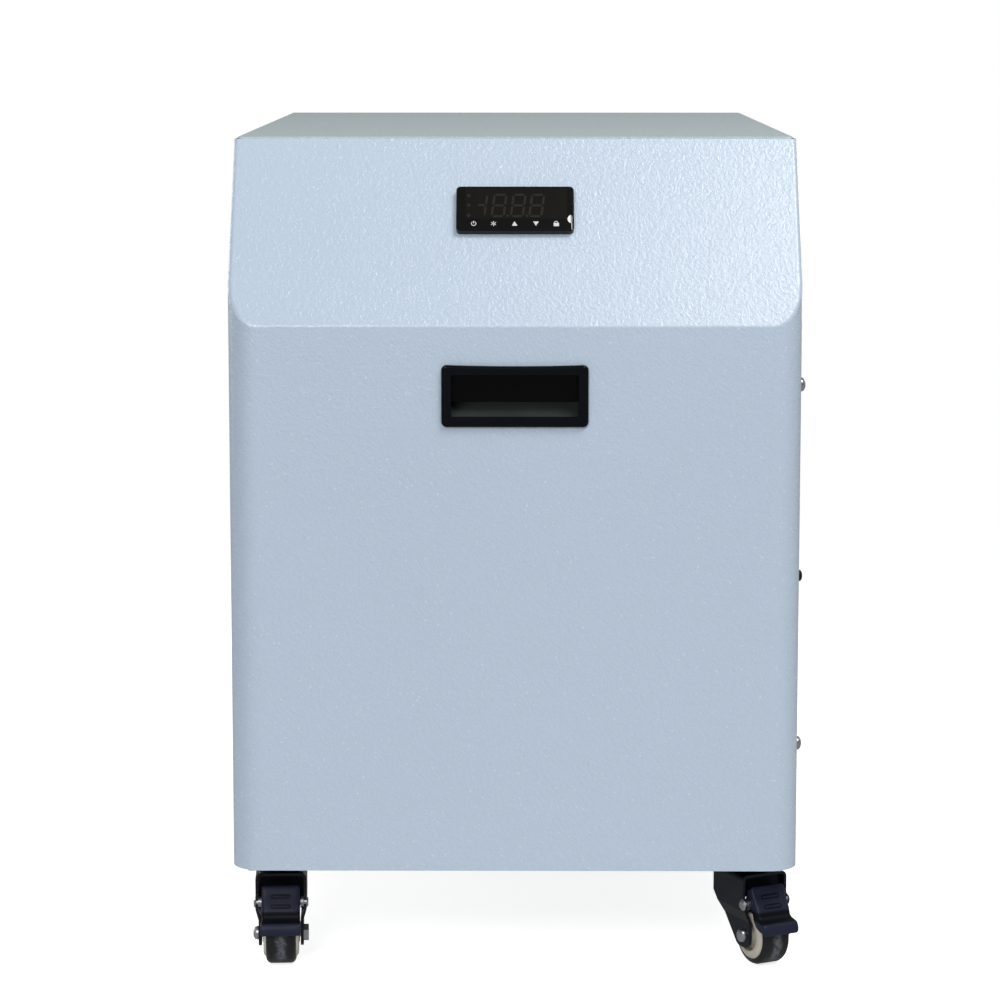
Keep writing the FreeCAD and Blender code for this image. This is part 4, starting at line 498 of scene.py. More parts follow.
def verts_at(mesh, place, points):
    """New vertices at the given points, moved by a matrix."""
    return [mesh.verts.new(place @ Vector(point)) for point in points]


def round_angles(steps):
    """Even steps round a circle."""
    return [2 * math.pi * i / steps for i in range(steps)]


def tube(mesh, rings):
    """Joins closed rings of vertices, one after the other, with faces."""
    for low, high in zip(rings, rings[1:]):
        for i in range(len(low)):
            k = (i + 1) % len(low)
            mesh.faces.new([low[i], low[k], high[k], high[i]])


def dress(node, material, edge=0.0):
    """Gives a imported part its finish, and eases its sharp edges so that they catch the light."""
    part = frame["nodes"][node]
    for slot in part.material_slots:
        slot.material = material
    if edge:
        weld = part.modifiers.new("joined_faces", "WELD")
        weld.merge_threshold = SEAM
        ease_edges(part, edge)


def ease_edges(part, edge):
    """Rounds a part's sharp edges and keeps its flat faces evenly lit."""
    ease = part.modifiers.new("eased_edges", "BEVEL")
    ease.width = edge
    ease.segments = 2
    ease.limit_method = "ANGLE"
    ease.angle_limit = math.radians(SHARP_DEG)
    ease.use_clamp_overlap = True
    even = part.modifiers.new("even_faces", "WEIGHTED_NORMAL")
    even.keep_sharp = True


def lathe(form, profile, steps):
    """Turns a profile of (along, radius) about the form's own axis; form places its points."""
    mesh = bmesh.new()
    rings = []
    for along, radius in profile:
        if radius <= 0:
            rings.append([mesh.verts.new(form @ Vector((0, 0, along)))])
            continue
        spots = [(radius * math.cos(angle), radius * math.sin(angle), along)
                 for angle in round_angles(steps)]
        rings.append(verts_at(mesh, form, spots))
    for low, high in zip(rings, rings[1:]):
        for i in range(steps):
            k = (i + 1) % steps
            corners = [low[i % len(low)], low[k % len(low)], high[k % len(high)], high[i % len(high)]]
            unique = list(dict.fromkeys(corners))
            if len(unique) > 2:
                mesh.faces.new(unique)
    return mesh


def axis_frame(start, direction, roll):
    """Places a form whose own +Z lies along a direction."""
    turn = Vector(direction).to_track_quat("Z", "Y").to_matrix().to_4x4()
    return Matrix.Translation(Vector(start)) @ turn @ Matrix.Rotation(roll, 4, "Z")


def mesh_from(name, parts, smooth_angle=SHARP_DEG):
    """Joins several bmeshes into one smooth-shaded mesh."""
    joined = bmesh.new()
    for part in parts:
        bmesh.ops.recalc_face_normals(part, faces=part.faces)
        scratch = mesh_data("scratch", part)
        joined.from_mesh(scratch)
        bpy.data.meshes.remove(scratch)
    mesh = mesh_data(name, joined)
    mesh.polygons.foreach_set("use_smooth", [True] * len(mesh.polygons))
    mesh.set_sharp_from_angle(angle=math.radians(smooth_angle))
    return mesh


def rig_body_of(node):
    """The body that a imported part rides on."""
    return frame["nodes"][node]["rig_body"]


def pedal_place(joint):
    """The matrix that takes (across, forward, up) millimetres from a pedal's pivot to the model's frame."""
    pivot = Vector(joint["pos_m"])
    axis = Vector(joint["axis"]).normalized()
    forward = Vector((axis.y, -axis.x, 0)).normalized()
    if forward.y > 0:
        forward = -forward
    across = Vector((0, 0, 1)).cross(forward)
    rows = [(across[i] * MM, forward[i] * MM, (0, 0, 1)[i] * MM, pivot[i]) for i in range(3)]
    return Matrix((*rows, (0, 0, 0, 1)))


def solid_places(node):
    """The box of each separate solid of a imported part."""
    part = bmesh.new()
    part.from_mesh(frame["nodes"][node].data)
    bmesh.ops.remove_doubles(part, verts=part.verts, dist=SEAM)
    seen = set()
    boxes = []
    for seed in part.verts:
        if seed in seen:
            continue
        seen.add(seed)
        group = [seed]
        for reached in group:
            for edge in reached.link_edges:
                vert = edge.other_vert(reached)
                if vert not in seen:
                    seen.add(vert)
                    group.append(vert)
        low = Vector([min(v.co[i] for v in group) for i in range(3)])
        high = Vector([max(v.co[i] for v in group) for i in range(3)])
        boxes.append((low, high))
    part.free()
    return boxes


# The controller's printed front

def window_frame():
    """Places (across, up, proud) of the controller's face; proud 0 is the window's own face."""
    low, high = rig.box("controller_window")
    slant = math.radians(bpy.context.scene.chiller.slant_deg)
    up = Vector((0, math.sin(slant), math.cos(slant)))
    out = Vector((0, -math.cos(slant), math.sin(slant)))
    half_thick = 0.5
    centre = (low + high) / 2 + out * half_thick * MM
    return Matrix(((1, 0, 0, centre.x), (0, up.y, out.y, centre.y), (0, up.z, out.z, centre.z),
                   (0, 0, 0, 1)))


def printed(name, shapes, lift, material):
    """Thin printed shapes on the window, each a list of (across, up) corners, all in millimetres."""
    place = window_frame()
    mesh = bmesh.new()
    for corners in shapes:
        mesh.faces.new(verts_at(mesh, place, [(x * MM, y * MM, lift * MM) for x, y in corners]))
    bmesh.ops.recalc_face_normals(mesh, faces=mesh.faces)
    outward = place.to_3x3() @ Vector((0, 0, 1))
    for face in mesh.faces:
        if face.normal.dot(outward) < 0:
            face.normal_flip()
    new_piece(name, mesh_data(name, mesh), material, "cabinet", "controller_window")


def oblong(x0, y0, x1, y1):
    """A plain rectangle between two opposite corners."""
    return [(x0, y0), (x1, y0), (x1, y1), (x0, y1)]


def bar(x0, y0, x1, y1, width):
    """A display segment: a bar with pointed ends."""
    along = Vector((x1 - x0, y1 - y0)).normalized()
    side = Vector((-along.y, along.x)) * width / 2
    tip = along * width / 2
    start, end = Vector((x0, y0)), Vector((x1, y1))
    return [tuple(start), tuple(start + tip - side), tuple(end - tip - side), tuple(end),
            tuple(end - tip + side), tuple(start + tip + side)]


def stroke(x0, y0, x1, y1, width):
    """A plain stroke with square ends."""
    along = Vector((x1 - x0, y1 - y0)).normalized()
    side = Vector((-along.y, along.x)) * width / 2
    start, end = Vector((x0, y0)), Vector((x1, y1))
    return [tuple(start - side), tuple(end - side), tuple(end + side), tuple(start + side)]


def arc_strokes(x, y, radius, width, start_deg, end_deg):
    """An arc drawn as joined quads."""
    steps = 14
    shapes = []
    inner, outer = radius - width / 2, radius + width / 2
    for i in range(steps):
        a = math.radians(start_deg + (end_deg - start_deg) * i / steps)
        b = math.radians(start_deg + (end_deg - start_deg) * (i + 1) / steps)
        shapes.append([(x + inner * math.cos(a), y + inner * math.sin(a)),
                       (x + outer * math.cos(a), y + outer * math.sin(a)),
                       (x + outer * math.cos(b), y + outer * math.sin(b)),
                       (x + inner * math.cos(b), y + inner * math.sin(b))])
    return shapes


def digit_shapes(x, y, width, height, lit, thick, lean):
    """Segments of one display digit, from its lower left corner."""
    gap = 0.18
    half = height / 2
    ends = {"a": (0, height, width, height), "g": (0, half, width, half), "d": (0, 0, width, 0),
            "f": (0, half, 0, height), "b": (width, half, width, height),
            "e": (0, 0, 0, half), "c": (width, 0, width, half)}
    shapes = []
    for key in lit:
        x0, y0, x1, y1 = ends[key]
        along = Vector((x1 - x0, y1 - y0)).normalized() * (thick * 0.5 + gap) * 0.5
        corners = bar(x0 + along.x, y0 + along.y, x1 - along.x, y1 - along.y, thick)
        shapes.append([(x + cx + cy * lean, y + cy) for cx, cy in corners])
    return shapes


def disc(x, y, radius):
    """A round dot."""
    return [(x + radius * math.cos(angle), y + radius * math.sin(angle)) for angle in round_angles(18)]


# Settings that a user may change

def colour_setting(name, description, default):
    """A colour with its name and its tip."""
    return FloatVectorProperty(name=name, description=description, size=4, subtype="COLOR", min=0, max=1,
                               default=default)


class ChillerSettings(bpy.types.PropertyGroup):
    """Sizes and colours of the whole chiller."""

    coat_colour: colour_setting("Coat colour", "Colour of the powder coat", srgb(186, 202, 221))
    # Painted light: the top cover takes its own copy of the coat colour, less blue, tuned to how light falls on the
    # flat top.
    cover_colour_painted_light: colour_setting("Cover colour", "Colour of the flat top cover", srgb(191, 208, 214))
    grain_size: FloatProperty(name="Grain size", description="Width of one grain of the coat",
                              default=0.0019, min=0.0005, max=0.01, unit="LENGTH")
    grain_depth: FloatProperty(name="Grain depth", description="Depth of the coat's grain",
                               default=0.0005, min=0, max=0.002, unit="LENGTH")
    gloss: FloatProperty(name="Coat roughness", description="Roughness of the coat's surface",
                         default=0.26, min=0, max=1, subtype="FACTOR")
    fleck_gap: FloatProperty(name="Fleck gap", description="Spacing of the coat's bright flecks",
                             default=0.0042, min=0.001, max=0.05, unit="LENGTH")
    slant_deg: FloatProperty(name="Slant", description="Lean of the upper front from upright, in degrees",
                             default=32.5, min=0, max=80)
    handle_colour: colour_setting("Handle colour", "Colour of the moulded pull", srgb(8, 10, 16))
    handle_dull: FloatProperty(name="Handle roughness", description="Roughness of the moulded pull",
                               default=0.15, min=0, max=1, subtype="FACTOR")
    facia_colour: colour_setting("Facia colour", "Colour of the controller's bezel", srgb(9, 12, 12))
    legend_colour: colour_setting("Legend colour", "Colour of the printed key marks", srgb(206, 210, 216))
    caster_colour: colour_setting("Caster colour", "Colour of the casters' steel", srgb(25, 27, 36))
    pedal_colour: colour_setting("Pedal colour", "Colour of the brake pedals", srgb(33, 37, 55))
    dust: FloatProperty(name="Tread dust", description="How dusty the treads are",
                        default=0.55, min=0, max=1, subtype="FACTOR")
    head_steps: IntProperty(name="Screw steps", description="Facets round a screw head", default=40, min=12,
                            max=96)


class StageSettings(bpy.types.PropertyGroup):
    """The camera and the lamps."""

    lens: FloatProperty(name="Lens", description="Focal length on a 36 mm sensor",
                        default=111.3, min=20, max=300)
    shift: FloatProperty(name="Shift", description="Upright shift of the lens", default=-0.1, min=-1, max=1)
    camera_place: FloatVectorProperty(name="Camera place", description="Where the camera stands", size=3,
                                      subtype="TRANSLATION", unit="LENGTH", default=(0.0029, -2.331, 0.6412))
    pitch_deg: FloatProperty(name="Pitch", description="How far the camera looks down, in degrees",
                             default=7.10)
    yaw_deg: FloatProperty(name="Yaw", description="How far the camera looks to the left, in degrees",
                           default=0.36)
    front_power: FloatProperty(name="Front lamp", description="Power of the large front lamp in watts",
                               default=39.0, min=0)
    top_power: FloatProperty(name="Upper lamp", description="Power of the lamp above the front in watts",
                             default=25.5, min=0)
    side_power: FloatProperty(name="Side lamps", description="Power of each side lamp in watts",
                              default=16.0, min=0)
    room_light: FloatProperty(name="Room light", description="Even light of the room", default=0.3, min=0)


def settings():
    """The chiller's own settings."""
    return bpy.context.scene.chiller


# Operators, one for each group of pieces

class ChillerCabinet(bpy.types.Operator):
    """Powder coat on the casing, galvanised sheet inside it"""

    bl_idname = "chiller.cabinet"
    bl_label = "Cabinet"

    def execute(self, context):
        user = settings()
        coat = coat_finish("powder_coat_blue_grey", tuple(user.coat_colour), user)
        # A copy of the coat in the cover's own colour, tuned as painted light.
        cover = coat_finish("powder_coat_cover", tuple(user.cover_colour_painted_light), user)
        for node in ("front_panel", "left_side_panel", "right_side_panel", "rear_panel"):
            dress(node, coat)
        dress("top_cover", cover, 0.0006)
        sheet = spangle_finish("galvanised_sheet", srgb(176, 180, 182))
        for node in ("base_pan", "corner_posts", "fan_shroud", "coil_rails"):
            dress(node, sheet, 0.0002)
        return {"FINISHED"}


class ChillerController(bpy.types.Operator):
    """Black panel controller with its unlit display and printed keys"""

    bl_idname = "chiller.controller"
    bl_label = "Controller"

    pane = (-33.3, -7.7, 34.6, 15.3)
    pane_lift = 0.03
    print_lift = 0.06
    film_lift = 0.08
    sign_spot = (-26.4, -5.6)
    sign_size = (6.0, 16.0)
    sign_width = 1.5
    digit_spots = ((-15.6, -5.9), (-2.8, -5.9), (9.5, -5.9))
    digit_size = (8.0, 16.2)
    digit_width = 1.6
    lean = 0.116
    points = ((-5.0, -5.7), (7.9, -5.7))
    point_r = 0.9
    signals = ((-30.9, 9.7), (-30.9, 2.4), (-30.9, -5.3))
    signal_r = 1.3
    legend_line = -11.6
    tab_spot = (38.2, -8.1)
    tab_r = 3.3
    film_edge = (37.6, -16.0, 37.9, -5.5)

    def execute(self, context):
        user = settings()
        bezel = gloss_finish("controller_gloss_black", tuple(user.facia_colour), 0.14)
        dress("controller_housing", bezel, 0.0004)
        dress("controller_clips", moulded_finish("clip_black", srgb(28, 28, 30)), 0.0002)
        dress("controller_window", gloss_finish("window_smoked", srgb(11, 12, 11), 0.07))
        pane = gloss_finish("display_pane", srgb(19, 18, 15), 0.1)
        printed("display_pane", [oblong(*self.pane)], self.pane_lift, pane)
        ghost = gloss_finish("display_segment", srgb(35, 34, 29), 0.2)
        printed("display_segments", self.display_shapes(), self.print_lift, ghost)
        mark = moulded_finish("key_print", tuple(user.legend_colour), 0.5)
        printed("key_legends", self.legend_shapes(self.legend_line), self.print_lift, mark)
        film = moulded_finish("film_tab", srgb(232, 236, 236), 0.35)
        printed("film_tab", [self.tab_shape(), oblong(*self.film_edge)], self.film_lift, film)
        return {"FINISHED"}

    def display_shapes(self):
        """The unlit sign, the digits, their points and the signal dots at the left."""
        shapes = digit_shapes(*self.sign_spot, *self.sign_size, "gbc", self.sign_width, self.lean)
        for spot in self.digit_spots:
            shapes += digit_shapes(*spot, *self.digit_size, "abcdefg", self.digit_width, self.lean)
        shapes += [disc(*spot, self.point_r) for spot in self.points]
        return shapes + [disc(*spot, self.signal_r) for spot in self.signals]

    def tab_shape(self):
        """The half-round end of the film at the right edge."""
        x, y = self.tab_spot
        angles = [math.radians(turn) for turn in range(110, 251, 10)]
        return [(x + self.tab_r * math.cos(angle), y + self.tab_r * math.sin(angle)) for angle in angles]

    def legend_shapes(self, y):
        """Power, frost, up, down and lock."""
        shapes = arc_strokes(-27.5, y, 1.5, 0.5, 120, 420) + [stroke(-27.5, y + 0.2, -27.5, y + 2.1, 0.5)]
        for turn in (0, 60, 120):
            angle = math.radians(turn + 90)
            dx, dy = 1.9 * math.cos(angle), 1.9 * math.sin(angle)
            shapes.append(stroke(-14.3 - dx, y - dy, -14.3 + dx, y + dy, 0.45))
        shapes.append([(-2.2, y - 1.6), (1.6, y - 1.6), (-0.3, y + 1.7)])
        shapes.append([(12.0, y + 1.6), (13.9, y - 1.7), (15.8, y + 1.6)])
        shapes.append(oblong(25.6, y - 1.9, 29.2, y + 0.6))
        return shapes + arc_strokes(27.4, y + 0.6, 1.15, 0.45, 0, 180)


class ChillerHandle(bpy.types.Operator):
    """Moulded recessed pull with a rounded rim, a sloping floor and a finger hollow"""

    bl_idname = "chiller.handle"
    bl_label = "Handle"

    half_w = 48.5
    half_h = 20.65
    corner = 3.6
    rim = 6.6
    proud = 3.0
    sag = 0.9
    depth = 24.0
    wall = 2.0
    lip = 2.7
    hollow = 9.3
    floor_rise = 7.0
    edge_round = 1.7
    mouth_round = 0.7
    hollow_round = 4.0
    hollow_clear = 1.3
    sill_rise = 0.8
    sill_back = 3.6
    sill_front = 2.4
    cup_wall = 3.2

    def execute(self, context):
        user = settings()
        low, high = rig.box("recess_handle")
        origin = Vector(((low.x + high.x) / 2, low.y + self.proud * MM, low.z + self.half_h * MM))
        place = Matrix(((MM, 0, 0, origin.x), (0, 0, -MM, origin.y), (0, MM, 0, origin.z), (0, 0, 0, 1)))
        parts = [self.rim_mesh(place), self.pocket_mesh(place), self.shell_mesh(place)]
        mesh = mesh_from("pull_handle", parts)
        finish = pull_finish("pull_blue_black", tuple(user.handle_colour), user.handle_dull, low.y)
        piece = new_piece("pull_handle", mesh, finish, "cabinet", "black_abs")
        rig.replaces(piece, "recess_handle")
        return {"FINISHED"}

    def loop(self, inset, proud, sagging):
        """A rounded rectangle a given way in from the rim's outline."""
        wide, tall = self.half_w - inset, self.half_h - inset
        radius = max(self.corner - inset, 0.5)
        points = []
        for sx, sy, turn in ((1, 1, 0), (-1, 1, 90), (-1, -1, 180), (1, -1, 270)):
            for i in range(9):
                angle = math.radians(turn + 90 * i / 8)
                points.append((sx * (wide - radius) + radius * math.cos(angle),
                               sy * (tall - radius) + radius * math.sin(angle)))
            if turn in (0, 180):
                start, span = sx * (wide - radius), -2 * sx * (wide - radius)
                points += [(start + span * i / 16, sy * tall) for i in range(1, 16)]
        return [(x, y - (sagging * self.sag * (1 - (x / self.half_w) ** 2) if y > 0 else 0), proud)
                for x, y in points]

    def rim_mesh(self, place):
        """The proud rim, from its back face round to the mouth."""
        loops = [self.loop(self.rim - 1, 0, 0), self.loop(0, 0, 1),
                 self.loop(0, self.proud - self.edge_round, 1)]
        for i in range(1, 7):
            angle = math.radians(15 * i)
            loops.append(self.loop(self.edge_round * (1 - math.cos(angle)),
                                   self.proud - self.edge_round * (1 - math.sin(angle)), 1))
        for i in range(5):
            angle = math.radians(22.5 * i)
            loops.append(self.loop(self.rim - self.mouth_round * (1 - math.sin(angle)),
                                   self.proud - self.mouth_round * (1 - math.cos(angle)), 0))
        loops.append(self.loop(self.rim, -0.5, 0))
        mesh = bmesh.new()
        tube(mesh, [verts_at(mesh, place, loop) for loop in loops])
        return mesh

    def trough(self, place, outline, half_w):
        """A wall through (up, proud) points across the handle, open in front, with both ends shut."""
        mesh = bmesh.new()
        ends = [verts_at(mesh, place, [(side * half_w, y, z) for y, z in outline]) for side in (-1, 1)]
        for i in range(len(outline) - 1):
            mesh.faces.new([ends[0][i], ends[0][i + 1], ends[1][i + 1], ends[1][i]])
        for end in ends:
            mesh.faces.new(end)
        return mesh

    def pocket_mesh(self, place):
        """Lip, finger hollow, back wall and the floor that rises towards it."""
        half_h = self.half_h - self.rim
        top = half_h + self.hollow
        outline = [(half_h, 0), (half_h, -self.lip - self.wall), (top, -self.lip - self.wall)]
        for turn in range(0, 91, 15):
            angle = math.radians(turn)
            outline.append((top - self.hollow_round * (1 - math.cos(angle)),
                            -self.depth + self.hollow_round * (1 - math.sin(angle))))
        outline += [(-half_h + self.floor_rise, -self.depth), (-half_h + self.sill_rise, -self.sill_back),
                    (-half_h, -self.sill_front), (-half_h, 0)]
        return self.trough(place, outline, self.half_w - self.rim)

    def shell_mesh(self, place):
        """The outside of the cup, behind the panel."""
        half_h = self.half_h - self.rim + self.cup_wall
        top = half_h + self.hollow - self.hollow_clear
        back = -self.depth - self.wall
        outline = [(half_h, 0), (half_h, -self.lip), (top, -self.lip), (top, back), (-half_h, back),
                   (-half_h, 0)]
        return self.trough(place, outline, self.half_w - self.rim + self.cup_wall)


class ChillerScrews(bpy.types.Operator):
    """Domed screws with cross recesses in place of the plain ones"""

    bl_idname = "chiller.screws"
    bl_label = "Screws"

    dome_height = 0.775
    head_edge = 0.12
    head_bulge = 0.75
    shank_r = 0.45
    shank_gap = 0.2
    turn_each = 1.1
    arm_reach = 0.55
    arm_half = 0.13
    cross_top = 1.3
    cross_foot = 0.35
    cross_taper = 0.45

    def execute(self, context):
        bright = zinc_plate_finish("screw_zinc", srgb(186, 188, 192), 0.26)
        black = painted_steel_finish("screw_black", srgb(22, 22, 26), 0.32)
        self.replace("silver_panel_screws", "silver_screw_heads", bright, "zinc")
        self.replace("black_panel_screws", "black_screw_heads", black, "black_screw")
        return {"FINISHED"}

    def replace(self, node, name, material, slot):
        """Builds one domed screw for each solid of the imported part."""
        parts = []
        for number, (low, high) in enumerate(solid_places(node)):
            parts += self.screw(low, high, number)
        piece = new_piece(name, mesh_from(name, parts, 30.0), material, "cabinet", slot)
        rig.replaces(piece, node)

    def screw(self, low, high, number):
        """A domed head with a cross sunk in it, and its shank; its long axis is told by its box."""
        size = high - low
        middle = (low + high) / 2
        if size.x > size.y:
            out = Vector((1 if middle.x > 0 else -1, 0, 0))
            radius, length = size.y / 2, size.x
        else:
            out = Vector((0, 1, 0))
            radius, length = size.x / 2, size.y
        dome = radius * self.dome_height
        crown = middle + out * length / 2
        form = axis_frame(crown - out * dome, out, number * self.turn_each)
        steps = settings().head_steps
        rise = []
        for i in range(9):
            angle = math.radians(90 * i / 8)
            share = 1 - self.head_bulge + self.head_bulge * math.sin(angle)
            rise.append((dome * share, radius * math.cos(angle)))
        foot = [(0, 0), (0, radius), (dome * self.head_edge, radius)]
        head = lathe(form, foot + rise[:-1] + [(dome, 0)], steps)
        carved = self.carve(head, self.cross(form, radius, dome))
        start, end, slim = self.shank_gap * MM, dome - length, radius * self.shank_r
        shank = lathe(form, [(start, 0), (start, slim), (end, slim), (end, 0)], 20)
        return [carved, shank]

    def cross(self, form, radius, dome):
        """A tapered cross that cuts the driver recess."""
        mesh = bmesh.new()
        wide, slim = radius * self.arm_reach, radius * self.arm_half
        top, bottom = dome * self.cross_top, dome * self.cross_foot
        outline = [(slim, slim), (slim, wide), (-slim, wide), (-slim, slim), (-wide, slim), (-wide, -slim),
                   (-slim, -slim), (-slim, -wide), (slim, -wide), (slim, -slim), (wide, -slim), (wide, slim)]
        upper = verts_at(mesh, form, [(x, y, top) for x, y in outline])
        inner = [(x * self.cross_taper, y * self.cross_taper) for x, y in outline]
        lower = verts_at(mesh, form, [(x, y, bottom) for x, y in inner])
        mesh.faces.new(upper)
        mesh.faces.new(list(reversed(lower)))
        tube(mesh, [lower, upper])
        return mesh

    def carve(self, body, cutter):
        """Cuts one closed mesh out of another."""
        objects = []
        for part in (body, cutter):
            bmesh.ops.recalc_face_normals(part, faces=part.faces)
            objects.append(new_object("scratch", mesh_data("scratch", part)))
        cut = objects[0].modifiers.new("cut", "BOOLEAN")
        cut.operation = "DIFFERENCE"
        cut.solver = "EXACT"
        cut.object = objects[1]
        graph = bpy.context.evaluated_depsgraph_get()
        result = bmesh.new()
        result.from_object(objects[0], graph)
        for made in objects:
            data = made.data
            bpy.data.objects.remove(made)
            bpy.data.meshes.remove(data)
        return result


class ChillerCasters(bpy.types.Operator):
    """Swivel casters: black steel, pale wheel cores, dusty treads"""

    bl_idname = "chiller.casters"
    bl_label = "Casters"

    def execute(self, context):
        user = settings()
        steel = painted_steel_finish("caster_black_steel", tuple(user.caster_colour), 0.34)
        pins = zinc_plate_finish("caster_zinc", srgb(188, 190, 196), 0.34)
        core = moulded_finish("wheel_core_pale", srgb(196, 190, 178), 0.5)
        dress("caster_plates", steel, 0.0004)
        dress("caster_bolts", pins, 0.0004)
        for name in CASTERS:
            spin = joints[name + "_wheel_spin"]
            tread = tread_finish(name + "_tread", srgb(30, 31, 34), user, spin["pos_m"], spin["axis"])
            dress(name + "_fork", steel, 0.0004)
            dress(name + "_tyre", tread, 0.0009)
            dress(name + "_wheel_core", core, 0.0004)
            dress(name + "_pins", pins, 0.0004)
        return {"FINISHED"}


class ChillerForkWalls(bpy.types.Operator):
    """Dark walls that close the front casters' forks above the pedals"""

    bl_idname = "chiller.fork_walls"
    bl_label = "Fork walls"

    half_w = 15.3
    top = 17.2
    foot = 17.5
    leg_bend = -4.5
    leg_taper = 0.16
    arch = 5.6
    back = 6.6
    thick = 1.2
    bowl = 1.1

    def execute(self, context):
        steel = frame["nodes"]["front_left_fork"].material_slots[0].material
        for name in BRAKED:
            place = pedal_place(joints[name + "_pedal_lift"])
            mesh = mesh_from(name + "_fork_wall", [self.wall(place)], 40.0)
            piece = new_piece(name + "_fork_wall", mesh, steel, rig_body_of(name + "_fork"), "caster_steel")
            ease_edges(piece, 0.0003)
        return {"FINISHED"}

    def wall(self, place):
        """A plate between the legs whose lower edge arches up, with a shallow bowl pressed in its middle."""
        mesh = bmesh.new()
        columns, rows = 24, 10
        sheets = []
        for depth in (0, self.thick):
            sheet = []
            for i in range(columns + 1):
                share = 2 * i / columns - 1
                low = self.arch - self.foot * share ** 6
                column = []
                for j in range(rows + 1):
                    rise = j / rows
                    bowl = self.bowl * (1 - share ** 4) * math.sin(math.pi * rise) ** 0.5
                    up = low + (self.top - low) * rise
                    wide = self.half_w - self.leg_taper * max(0, self.leg_bend - up)
                    spot = Vector((share * wide, -self.back - depth - bowl, up))
                    column.append(mesh.verts.new(place @ spot))
                sheet.append(column)
            sheets.append(sheet)
        front, rear = sheets
        for sheet in sheets:
            for i in range(columns):
                for j in range(rows):
                    mesh.faces.new([sheet[i][j], sheet[i + 1][j], sheet[i + 1][j + 1], sheet[i][j + 1]])
        for i in range(columns):
            for j in (0, rows):
                mesh.faces.new([front[i][j], front[i + 1][j], rear[i + 1][j], rear[i][j]])
        for j in range(rows):
            for i in (0, columns):
                mesh.faces.new([front[i][j], front[i][j + 1], rear[i][j + 1], rear[i][j]])
        return mesh


